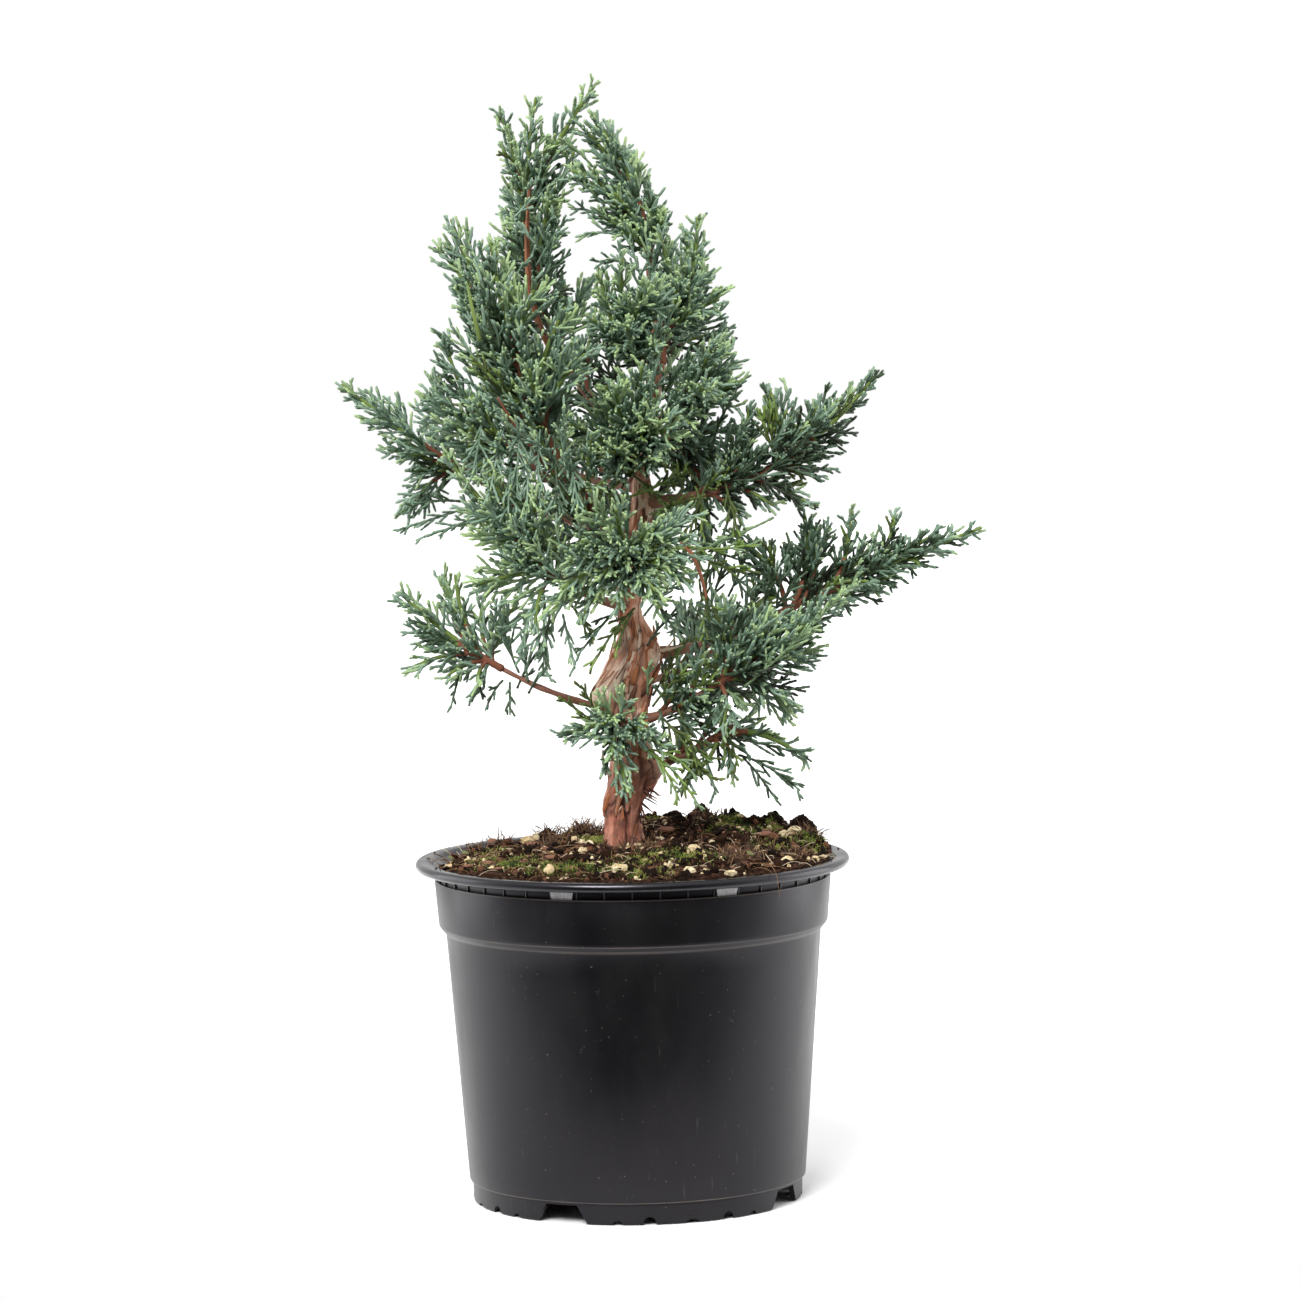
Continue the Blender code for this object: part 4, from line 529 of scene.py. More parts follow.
def length(name, description, millimetres):
    return number(name, description, millimetres * MM, min=0, unit="LENGTH", precision=5)


def count(name, description, default):
    return IntProperty(name=name, description=description, default=default, min=0)


def share(name, description, default):
    return number(name, description, default, min=0, max=1, subtype="FACTOR")


def angle(name, description, degrees):
    return number(name, description, math.radians(degrees), subtype="ANGLE")


def linear(*screen):
    """A screen colour of 0 to 255 as linear light."""
    return tuple(
        value / 12.92 if value <= 0.04045 else ((value + 0.055) / 1.055) ** 2.4
        for value in (part / 255 for part in screen)
    )


def colour(name, description, *screen):
    return FloatVectorProperty(
        name=name, description=description, default=linear(*screen), subtype="COLOR",
        size=3, min=0, max=1,
    )


class JuniperPotSettings(bpy.types.PropertyGroup):
    steps: count("Steps", "Facets round the pot", 176)
    ribs: count("Ribs", "Thin ribs in the ring under the rim", 45)
    rib_width: length("Rib width", "Thickness of one rib", 0.5)
    notch_top: length("Notch top", "Width of a foot notch at its top", 15)
    notch_bottom: length("Notch foot", "Width of a foot notch at the ground", 24)
    notch_height: length("Notch height", "Height of a foot notch", 8)


class JuniperSoilSettings(bpy.types.PropertyGroup):
    segments: count("Segments", "Facets round the soil's surface", 220)
    rings: count("Rings", "Rings of the soil's surface", 62)
    crumbs: count("Crumbs", "Lumps of peat", 5600)
    pumice: count("Pumice", "Pale grains", 400)
    chips: count("Bark chips", "Reddish chips of bark", 60)
    moss: count("Moss", "Blades of moss", 15000)
    fibres: count("Fibres", "Rootlets and hairs", 460)


class JuniperBarkSettings(bpy.types.PropertyGroup):
    sides: count("Sides", "Facets round the trunk", 132)
    ring_step: length("Ring step", "Height of one ring of the trunk", 0.8)
    strand_depth: length("Strand depth", "Relief of the fine fibres", 0.9)
    plate_depth: length("Plate depth", "Relief of the plates", 1.1)
    crack_depth: length("Crack depth", "Depth of the cracks between plates", 1.0)
    flakes: count("Flakes", "Strips of bark that peel off the trunk", 190)
    bough_sides: count("Bough sides", "Facets round a bough", 18)
    bough_step: length("Bough step", "Length of one ring of a bough", 1.1)


class JuniperFoliageSettings(bpy.types.PropertyGroup):
    twig_step: length("Twig step", "Distance between twigs along a plume", 2.9)
    shoot_step: length("Shoot step", "Distance between shoots along a twig", 2.9)
    ring_step: length("Scale step", "Length of one pair of scale leaves", 1.7)
    twig_radius: length("Twig radius", "Radius of a twig in its scale leaves", 0.74)
    shoot_radius: length("Shoot radius", "Radius of a shoot in its scale leaves", 0.68)
    fork_radius: length("Fork radius", "Radius of the smallest forks", 0.58)
    scale_relief: share("Scale relief", "How far the scale leaves stand proud", 0.16)
    shoot_angle: angle("Shoot angle", "Between a shoot and its twig", 39)
    sides: count("Sides", "Facets round a shoot", 5)


class JuniperColourSettings(bpy.types.PropertyGroup):
    # leaf_shade and leaf_deep are painted shade: the slots of sprays deep in a plume and facing down
    leaf_shade: colour("Shade", "Scale leaves deep inside a spray", 30, 39, 21)
    leaf_deep: colour("Deep", "Older scale leaves", 54, 73, 49)
    leaf_blue: colour("Blue", "Blue-green scale leaves", 94, 119, 96)
    leaf_frosted: colour("Frosted", "Waxy blue-grey scale leaves", 124, 149, 128)
    leaf_green: colour("Green", "Mid-green scale leaves", 111, 135, 96)
    leaf_young: colour("Young", "This year's growth", 145, 169, 124)
    leaf_bright: colour("Bright", "Yellow-green tips", 162, 186, 130)
    leaf_olive: colour("Olive", "Inner leaves that lack light", 74, 88, 38)
    leaf_fresh: colour("Fresh", "Yellow-green drooping sprays", 108, 132, 58)
    stem_brown: colour("Brown stem", "Woody twigs", 122, 72, 50)
    stem_bark: colour("Leader stem", "Flaky bark of the left leader", 152, 96, 68)
    stem_ochre: colour("Ochre stem", "Half-ripe twigs", 140, 118, 62)
    stem_green: colour("Green stem", "Young twigs", 104, 124, 58)
    bark_red: colour("Red bark", "Fresh bark between the strips", 190, 117, 86)
    bark_dark: colour("Dark bark", "Cracks and damp bark", 58, 34, 27)
    bark_pale: colour("Pale bark", "Weathered strips", 232, 203, 180)
    peat: colour("Peat", "Moist potting soil", 44, 28, 19)
    peat_dark: colour("Dark peat", "Wet crumbs", 25, 16, 11)
    peat_red: colour("Red peat", "Dry bark dust", 92, 62, 46)
    pumice: colour("Pumice", "Pale mineral grains", 222, 206, 170)
    moss: colour("Moss", "Fresh moss", 104, 122, 48)
    moss_dark: colour("Dark moss", "Older moss", 54, 70, 30)
    fibre: colour("Fibre", "Dry rootlets", 130, 100, 66)
    weed: colour("Weed", "Red-brown weed leaves", 112, 72, 50)
    plastic: colour("Plastic", "Black moulded plastic", 5, 5, 6)
    dust: colour("Dust", "Specks on the plastic", 96, 90, 84)
    # the pale panels are painted light: pale plates where light shows through openings under the rim
    pale_panel: colour("Pale panel", "Two pale panels under the rim", 214, 212, 212)


class JuniperStageSettings(bpy.types.PropertyGroup):
    camera_distance: length("Camera distance", "From the plant's axis", 2400)
    camera_height: length("Camera height", "Above the floor", 445)
    camera_side: length("Camera side", "Sideways shift of the camera", 9.26)
    camera_pitch: number("Pitch", "How far it looks down", 0.085, subtype="ANGLE")
    camera_roll: number("Roll", "Lean of the camera", -0.017, subtype="ANGLE")
    lens: number("Lens", "Focal length in millimetres", 152.71)
    sky: number("Sky", "Strength of the white surround", 1.0)
    key: number("Key", "Strength of the soft key light", 3.7)
    softness: angle("Softness", "Width of the key light", 28)
    front_light: share("Front light", "How much light the room sends from the front", 0.12)
    side: number("Side", "Power of each side light", 5)
    glow: number("Glow", "Power of the narrow light on the trunk", 18)
    glow_width: angle("Glow width", "Opening of the light on the trunk", 6.5)
    floor_radius: length("Floor", "Radius of the floor", 2500)
    floor_front: length("Floor edge", "Floor in front of the pot's axis", 190)


GROUPS = {
    "juniper_pot": JuniperPotSettings,
    "juniper_soil": JuniperSoilSettings,
    "juniper_bark": JuniperBarkSettings,
    "juniper_foliage": JuniperFoliageSettings,
    "juniper_colours": JuniperColourSettings,
    "juniper_stage": JuniperStageSettings,
}


# ---------------------------------------------------------------- materials
class Nodes:
    """Adds nodes to a material or a world and links them."""

    def __init__(self, owner):
        owner.use_nodes = True
        self.owner = owner
        self.tree = owner.node_tree

    def add(self, kind, values=None, **settings):
        made = self.tree.nodes.new("ShaderNode" + kind)
        for key, value in settings.items():
            setattr(made, key, value)
        for key, value in (values or {}).items():
            made.inputs[key].default_value = value
        return made

    def wire(self, *pairs):
        for source, target in pairs:
            self.tree.links.new(source, target)


class Surface(Nodes):
    """A material with its shader."""

    def __init__(self, name, base, roughness, gloss=0.5):
        super().__init__(bpy.data.materials.new(name))
        self.shader = self.tree.nodes["Principled BSDF"]
        self.shader.inputs["Base Color"].default_value = (*base, 1)
        self.shader.inputs["Roughness"].default_value = roughness
        self.shader.inputs["Specular IOR Level"].default_value = gloss

    def place(self):
        return self.add("TexCoord").outputs["Object"]

    def stored(self, name, output):
        return self.add("Attribute", attribute_name=name).outputs[output]

    def noise(self, source, scale, stretch=(1, 1, 1), detail=4, roughness=0.55):
        place = self.add("Mapping", {"Scale": stretch})
        made = self.add("TexNoise", {"Scale": scale, "Detail": detail, "Roughness": roughness})
        self.wire((source, place.inputs["Vector"]), (place.outputs["Vector"], made.inputs["Vector"]))
        return made.outputs["Fac"]

    def ramp(self, source, *stops):
        """A colour ramp fed by one value; stops are (place, colour or grey)."""
        made = self.add("ValToRGB")
        elements = made.color_ramp.elements
        while len(elements) < len(stops):
            elements.new(0.5)
        for element, (place, tint) in zip(elements, stops):
            element.position = place
            element.color = (*tint, 1) if isinstance(tint, tuple) else (tint, tint, tint, 1)
        self.wire((source, made.inputs["Fac"]))
        return made.outputs["Color"]

    def mix(self, factor, low, high):
        """Low and high are colours or sockets; factor is a socket."""
        made = self.add("Mix", data_type="RGBA")
        for source, target in zip((factor, low, high), (made.inputs[k] for k in (0, 6, 7))):
            if isinstance(source, tuple):
                target.default_value = (*source, 1)
            else:
                self.wire((source, target))
        return made.outputs[2]

    def lay(self, skin, source, low, high, tint):
        """A colour laid over the skin where a value passes from one stop to another."""
        return self.mix(self.ramp(source, low, high), skin, tint)

    def finish(self, skin, height=None, depth=0, strength=1.0):
        """Colours the shader, and bumps it where a height is given."""
        self.wire((skin, self.shader.inputs["Base Color"]))
        if height is not None:
            bump = self.add("Bump", {"Distance": depth, "Strength": strength})
            self.wire((height, bump.inputs["Height"]),
                      (bump.outputs["Normal"], self.shader.inputs["Normal"]))
        return self.owner


def plain(name, base, roughness, gloss=0.5):
    return bpy.data.materials.get(name) or Surface(name, tuple(base), roughness, gloss).owner


def plain_set(colours, names, roughness, gloss=0.5):
    return [plain(name, getattr(colours, name), roughness, gloss) for name in names]


def bark_material(colours):
    """Red-brown plates, dark cracks, pale worn wood, a darker damp foot, and painted shade in deep
    folds.
    """
    red, pale_bark = tuple(colours.bark_red), tuple(colours.bark_pale)
    bark = Surface("bark", red, 0.82)
    grain = bark.stored("grain", "Vector")
    wear = bark.add("SeparateColor")
    bark.wire((bark.stored("wear", "Color"), wear.inputs["Color"]))
    # the red channel holds the cracks and the painted shade of the deep folds
    crack, pale, damp = wear.outputs["Red"], wear.outputs["Green"], wear.outputs["Blue"]
    fibres = bark.noise(grain, 620, (1, 1, 0.12), 4, 0.6)
    blots = bark.noise(grain, 380, (1, 1, 0.6), 4, 0.6)
    skin = bark.ramp(
        bark.noise(grain, 150, (1, 1, 0.5), 6, 0.68),
        (0.30, linear(128, 74, 54)), (0.41, red), (0.52, linear(218, 160, 132)),
        (0.66, linear(238, 204, 180)),
    )
    rosy, ashen = bark.noise(grain, 70, (1, 1, 0.4), 3), bark.noise(grain, 52, (1, 1, 0.5), 3)
    skin = bark.lay(skin, rosy, (0.48, 0), (0.58, 0.5), linear(196, 126, 102))
    skin = bark.lay(skin, blots, (0.36, 0.45), (0.48, 0), linear(104, 62, 48))
    skin = bark.lay(skin, blots, (0.56, 0), (0.68, 0.55), linear(220, 180, 156))
    skin = bark.lay(skin, ashen, (0.54, 0), (0.64, 0.4), linear(196, 160, 130))
    skin = bark.lay(skin, fibres, (0.32, 0.4), (0.46, 0), linear(104, 62, 48))
    skin = bark.lay(skin, fibres, (0.62, 0), (0.74, 0.5), pale_bark)
    wood = bark.ramp(
        fibres, (0.30, linear(170, 122, 94)), (0.46, pale_bark), (0.66, linear(240, 222, 202)))
    wet = bark.ramp(
        bark.noise(grain, 240, (1, 1, 0.5), 5, 0.65),
        (0.38, linear(64, 39, 30)), (0.50, linear(146, 84, 66)), (0.66, linear(198, 136, 114)),
    )
    for factor, tint in ((pale, wood), (damp, wet), (crack, tuple(colours.bark_dark))):
        skin = bark.mix(factor, skin, tint)
    return bark.finish(skin, fibres, 0.35 * MM)


def peeled_material(colours):
    strip = Surface("bark_strip", colours.bark_pale, 0.8)
    tint = strip.noise(strip.place(), 260, (1, 1, 0.3), 3)
    return strip.finish(strip.ramp(
        tint, (0.34, tuple(colours.bark_red)), (0.56, linear(176, 128, 104)),
        (0.70, tuple(colours.bark_pale)),
    ))


def plastic_material(colours, name, roughness, gloss):
    """Satin black plastic: cloudy wear, dust specks, upright scratches, and pale edge lines of dust and
    painted highlight.
    """
    plastic = Surface(name, colours.plastic, roughness, gloss)
    plastic.shader.inputs["Specular Tint"].default_value = (1.0, 0.95, 1.05, 1.0)
    place, dust = plastic.place(), tuple(colours.dust)
    cloud = plastic.noise(place, 38, (1, 1, 0.45), 4)
    specks, scratches = plastic.noise(place, 760, detail=1), plastic.noise(place, 900, (1, 1, 0.035), 2)
    skin = plastic.lay(tuple(colours.plastic), specks, (0.765, 0), (0.80, 0.7), dust)
    skin = plastic.lay(skin, scratches, (0.70, 0), (0.78, 0.45), linear(58, 58, 60))
    skin = plastic.lay(skin, cloud, (0.42, 0), (0.72, 0.03), dust)
    split = plastic.add("SeparateXYZ")
    plastic.wire((place, split.inputs["Vector"]))
    # pale lines along the edges, part dust and part painted highlight
    for height, wide, strength in DUST_AND_HIGHLIGHT_LINES:
        near = plastic.add("Math", {1: height, 2: wide}, operation="COMPARE")
        dust_and_highlight = plastic.add("Math", {1: strength}, operation="MULTIPLY")
        patchy = plastic.add("Math", operation="MULTIPLY")
        plastic.wire((split.outputs["Z"], near.inputs[0]), (near.outputs[0], dust_and_highlight.inputs[0]),
                     (dust_and_highlight.outputs[0], patchy.inputs[0]), (cloud, patchy.inputs[1]))
        skin = plastic.mix(patchy.outputs[0], skin, linear(150, 138, 128))
    rough = plastic.add("MapRange", {
        "From Min": 0.3, "From Max": 0.7, "To Min": roughness - 0.05, "To Max": roughness + 0.10,
    })
    plastic.wire((cloud, rough.inputs["Value"]),
                 (rough.outputs["Result"], plastic.shader.inputs["Roughness"]))
    return plastic.finish(skin, plastic.noise(place, 1400, detail=2), 0.03 * MM, 0.5)


# painted light: the pale plates stand for light seen through the openings under the rim
def panel_material(colours):
    panel = Surface("pale_plastic", colours.pale_panel, 0.45)
    lines = panel.noise(panel.place(), 1500, (1, 1, 0.04), 2)
    return panel.finish(
        panel.ramp(lines, (0.3, linear(176, 174, 176)), (0.6, tuple(colours.pale_panel))))


def soil_material(colours):
    soil = Surface("peat_surface", colours.peat, 0.95, 0.1)
    grains = soil.noise(soil.place(), 520, detail=6, roughness=0.7)
    shade = soil.ramp(grains, (0.30, tuple(colours.peat_dark)), (0.50, tuple(colours.peat)),
                      (0.68, tuple(colours.peat_red)))
    return soil.finish(shade, grains, 0.8 * MM)


def pumice_material(colours):
    stone = Surface("pumice", colours.pumice, 0.9)
    place = stone.place()
    pores = stone.noise(place, 900, detail=3)
    shade = stone.ramp(pores, (0.34, linear(120, 96, 70)), (0.48, tuple(colours.pumice)))
    stain = stone.noise(place, 130, detail=2)
    shade = stone.lay(shade, stain, (0.40, 0), (0.66, 0.75), linear(176, 148, 96))
    return stone.finish(shade, pores, 0.4 * MM)


# ---------------------------------------------------------------- pieces
def clear_selection():
    bpy.ops.object.select_all(action="DESELECT")


def named(name):
    """The active object, renamed with its mesh."""
    thing = bpy.context.active_object
    thing.name = thing.data.name = name
    return thing


def activate(thing):
    clear_selection()
    thing.select_set(True)
    bpy.context.view_layer.objects.active = thing


def settle(thing, slot, *nodes):
    """Hands a finished piece to the frame: attaches it to the root body and hides the nodes it stands
    for. The slot is not used.
    """
    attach(thing, BODY)
    for replaced in nodes:
        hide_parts(replaced)


def paint(thing, *materials):
    thing.data.materials.clear()
    for material in materials:
        thing.data.materials.append(material)


def joined_mesh(name, verts, corners, sizes, slots, materials, smooth=True):
    """One object from arrays: points, face corners, face sizes and face slots."""
    mesh = bpy.data.meshes.new(name)
    mesh.vertices.add(len(verts))
    mesh.vertices.foreach_set("co", np.ascontiguousarray(verts, np.float32).ravel())
    mesh.loops.add(len(corners))
    mesh.loops.foreach_set("vertex_index", corners.astype(np.int32))
    mesh.polygons.add(len(sizes))
    starts = np.concatenate([[0], np.cumsum(sizes)[:-1]])
    mesh.polygons.foreach_set("loop_start", starts.astype(np.int32))
    mesh.polygons.foreach_set("loop_total", sizes.astype(np.int32))
    for material in materials:
        mesh.materials.append(material)
    mesh.polygons.foreach_set("material_index", slots.astype(np.int32))
    mesh.polygons.foreach_set("use_smooth", np.full(len(sizes), smooth))
    mesh.update()
    mesh.validate()
    thing = bpy.data.objects.new(name, mesh)
    bpy.context.scene.collection.objects.link(thing)
    return thing


# ---------------------------------------------------------------- tubes
# start, lean and tip of a bent tube, its radii, how flat it is, its slots and where its
# second slot begins, as a share of its length
Tube = namedtuple("Tube", "start lean tip base end flat slot tip_slot split")


def plain_tube(start, lean, tip, base, end, slot=0, flat=1.0):
    return Tube(start, lean, tip, base, end, flat, slot, slot, 2)


def unit(rows):
    return rows / np.linalg.norm(rows, axis=-1, keepdims=True)


def bands(rings, sides):
    """Corners of the faces between each ring of points and the next."""
    k = np.arange(sides)
    after = (k + 1) % sides
    return np.concatenate([
        np.stack([low + k, low + after, low + sides + after, low + sides + k], axis=1).ravel()
        for low in range(0, (rings - 1) * sides, sides)
    ])


def ring_outline(shares, blade):
    """Radius along a tube: even and rounded at its end, or a blade's outline."""
    if blade:
        return np.sin(np.pi * (0.06 + 0.94 * shares)) ** 0.7
    return np.where(shares > 0.85, 0.86, 1.0)


def tube_group(tubes, rings, sides, relief, blade):
    """Arrays for tubes that have the same number of rings."""
    start, lean, tip = (np.array([tube[k] for tube in tubes])[:, None, :] for k in range(3))
    base, end, flat, slot, tip_slot, split = np.array([tube[3:] for tube in tubes]).T[:, :, None]
    shares = np.linspace(0, 1 - 0.45 / rings, rings)
    t = shares[None, :, None]
    middle = start * (1 - t) ** 2 + lean * (2 * t * (1 - t)) + tip * t**2
    way = unit((lean - start) * (1 - t) + (tip - lean) * t + 1e-9)
    seed = np.cross(np.array([0.31, 0.17, 0.93]), way[:, :1, :])
    right = unit(seed - way * (seed * way).sum(-1, keepdims=True) + 1e-9)
    deep = np.cross(way, right)
    radius = (base + (end - base) * shares[None, :]) * ring_outline(shares, blade)[None, :]
    turns = np.arange(sides) * math.tau / sides
    swell = relief * (-1.0) ** np.arange(rings)
    wide = np.cos(turns)[None, None, :, None] * (1 + swell)[None, :, None, None]
    tall = np.sin(turns)[None, None, :, None] * (1 - swell)[None, :, None, None]
    tall = tall * flat[:, :, None, None]
    skin = middle[:, :, None, :] + radius[:, :, None, None] * (
        wide * right[:, :, None, :] + tall * deep[:, :, None, :]
    )
    points = np.concatenate([skin.reshape(len(tubes), -1, 3), tip], axis=1)
    k = np.arange(sides)
    last = (rings - 1) * sides
    cap = np.stack([last + k, last + (k + 1) % sides, np.full(sides, rings * sides)], axis=1)
    corners = np.concatenate([bands(rings, sides), cap.ravel(), k[::-1]])
    sizes = np.concatenate([np.full(last, 4), np.full(sides, 3), [sides]])
    heights = np.concatenate([np.repeat(shares[:-1] + 0.5 / rings, sides), np.ones(sides), [0]])
    offsets = np.arange(len(tubes))[:, None] * (rings * sides + 1)
    slots = np.where(heights[None, :] > split, tip_slot, slot)
    return (points.reshape(-1, 3), (corners[None, :] + offsets).ravel(),
            np.tile(sizes, len(tubes)), slots.ravel())


def tube_piece(name, tubes, step, sides, materials, relief=0.0, blade=False, least=2):
    """Many bent tubes, closed at both ends, joined into one piece."""
    groups = {}
    for tube in tubes:
        reach = (tube.tip - tube.start).length
        groups.setdefault(max(least, round(reach / step) + 1), []).append(tube)
    arrays, shift = [], 0
    for rings in sorted(groups):
        points, corners, sizes, slots = tube_group(groups[rings], rings, sides, relief, blade)
        arrays.append((points, corners + shift, sizes, slots))
        shift += len(points)
    return joined_mesh(name, *(np.concatenate(part) for part in zip(*arrays)), materials)


# ---------------------------------------------------------------- curves
def at(x, y, z):
    """A point given in millimetres."""
    return Vector((x, y, z)) * MM


def outward(turn):
    return Vector((math.cos(turn), math.sin(turn), 0))


def clamped(value, low=0, high=1):
    return min(max(value, low), high)


def bend(curve, place):
    start, lean, tip = curve
    return start * (1 - place) ** 2 + lean * (2 * place * (1 - place)) + tip * place**2


def heading(curve, place):
    start, lean, tip = curve
    return ((lean - start) * (1 - place) + (tip - lean) * place).normalized()


def across(direction):
    """Two directions square to a heading: right of its growth from the front, and deep."""
    right = Vector((0, 1, 0)).cross(direction)
    if right.length < 0.2:
        right = Vector((1, 0, 0)) - direction * direction.x
    right.normalize()
    return right, direction.cross(right).normalized()


def sprout(curve, place, turn):
    """A point of a curve, its heading there, and the direction square to it at a turn."""
    direction = heading(curve, place)
    right, deep = across(direction)
    return bend(curve, place), direction, right * math.cos(turn) + deep * math.sin(turn)


def trunk_axis(height):
    """x, y and radius of the trunk at a height, smooth through its course."""
    heights = [point[2] * MM for point in TRUNK_COURSE]
    height = clamped(height, heights[0], heights[-1])
    k = max(i for i in range(len(heights) - 1) if heights[i] <= height)
    low, high = heights[k], heights[k + 1]
    t = (height - low) / (high - low)
    values = []
    for column in (0, 1, 3):
        data = [point[column] * MM for point in TRUNK_COURSE]
        before, after = max(k - 1, 0), min(k + 2, len(data) - 1)
        slope_low = (data[k + 1] - data[before]) / (heights[k + 1] - heights[before])
        slope_high = (data[after] - data[k]) / (heights[after] - heights[k])
        values.append(
            data[k] * (2 * t**3 - 3 * t**2 + 1) + data[k + 1] * (3 * t**2 - 2 * t**3)
            + (slope_low * (t**3 - 2 * t**2 + t) + slope_high * (t**3 - t**2)) * (high - low)
        )
    return values


def near_spot(height, turn, middle, direction, high, wide):
    """How near a place on the trunk is to the middle of a spot, from 0 to 1."""
    around = math.remainder(turn - math.radians(direction), math.tau) / math.radians(wide)
    return math.exp(-(around**2) - ((height - middle * MM) / (high * MM)) ** 2)


def groove_depth(height, turn):
    """How deep the folds beside the burl and in the foot are."""
    return sum(depth * MM * near_spot(height, turn, *spot) for *spot, depth in GROOVES)


def trunk_radius(height, turn):
    radius = trunk_axis(height)[2]
    twist = TWIST_RIDGES * (turn - math.tau * (height - TRUNK_BASE) / TWIST_LENGTH)
    radius *= 1 + TWIST_DEPTH * math.cos(twist)
    flare = math.exp(-(((height - TRUNK_BASE) / FLARE_HEIGHT) ** 2))
    radius *= 1 + FLARE_DEPTH * flare * (1 + 0.6 * math.cos(4 * turn + 0.7))
    for knot_height, direction, size, spread in KNOTS:
        rise = (height - knot_height * MM) / (spread * MM)
        facing = max(0, math.cos(turn - math.radians(direction))) ** 3
        radius += size * MM * facing * math.exp(-(rise**2))
    return radius - groove_depth(height, turn)


def trunk_point(height):
    x, y, _ = trunk_axis(height)
    return Vector((x, y, height))


def bough_curve(name):
    limb = BOUGHS[name]
    if limb.parent == "trunk":
        start = trunk_point(limb.place * MM)
    else:
        start = bend(bough_curve(limb.parent), limb.place)
    return start, at(*limb.lean), at(*limb.tip)


def bough_radius(limb, place):
    return (limb.radius[0] + (limb.radius[1] - limb.radius[0]) * place) * MM


def soil_height(x, y):
    """The soil's surface: level with the rim, heaped behind the trunk to the right."""
    away = (Vector((x, y)) - MOUND_CENTRE).length / MOUND_RADIUS
    out = math.hypot(x, y) / RIM_RADIUS
    dome = (SEAT_HEIGHT - SOIL_EDGE_HEIGHT) * (1 - out**2)
    heap = MOUND_HEIGHT * math.exp(-(away**2)) * min(1, 3 * (1 - out))
    return SOIL_EDGE_HEIGHT + dome + heap


def soil_surface(x, y):
    """The soil's height with its clods, lumps and hollows."""
    out = math.hypot(x, y) / RIM_RADIUS
    place = Vector((x, y, 0))
    lumps = 2.4 * noise.noise(place * 75) + 1.8 * noise.noise(place * 170)
    lumps += 1.1 * noise.noise(place * 380) + 0.7 * noise.noise(place * 900)
    near = math.hypot(x - TRUNK_COURSE[0][0] * MM, y - TRUNK_COURSE[0][1] * MM)
    calm = clamped((near - 12 * MM) / (14 * MM), 0.2) * (1 - 0.7 * out**6)
    clods = 0
    for clod_x, clod_y, spread, tall in CLODS:
        away = math.hypot(x / MM - clod_x, y / MM - clod_y) / spread
        clods += tall * math.exp(-(away**2)) * min(1, 5 * (1 - out))
    side = (x * SUNK_SIDE[0] + y * SUNK_SIDE[1]) / RIM_RADIUS
    sunk = SUNK_DEPTH * clamped((side - 0.3) / 0.4)
    return soil_height(x, y) + (lumps * calm + clods) * MM - sunk


def soil_point(x, y, rise=0):
    return Vector((x, y, soil_surface(x, y) + rise))


def inner_radius(height):
    """The pot's inner wall near the rim."""
    radii, heights = zip(*reversed(INNER_WALL))
    return float(np.interp(height, heights, radii)) - 0.2 * MM


# ---------------------------------------------------------------- pot
def arc(centre, radius, first, last, steps):
    """Points of a profile's arc, with angles in degrees from outwards to upwards."""
    return [
        (centre[0] + radius * math.cos(turn), centre[1] + radius * math.sin(turn))
        for turn in (math.radians(first + (last - first) * k / steps) for k in range(steps + 1))
    ]


def beside(*rows):
    """Points of a profile: a radius and the millimetres added to it, and a height likewise."""
    return [(radius + out * MM, height + up * MM) for radius, out, height, up in rows]


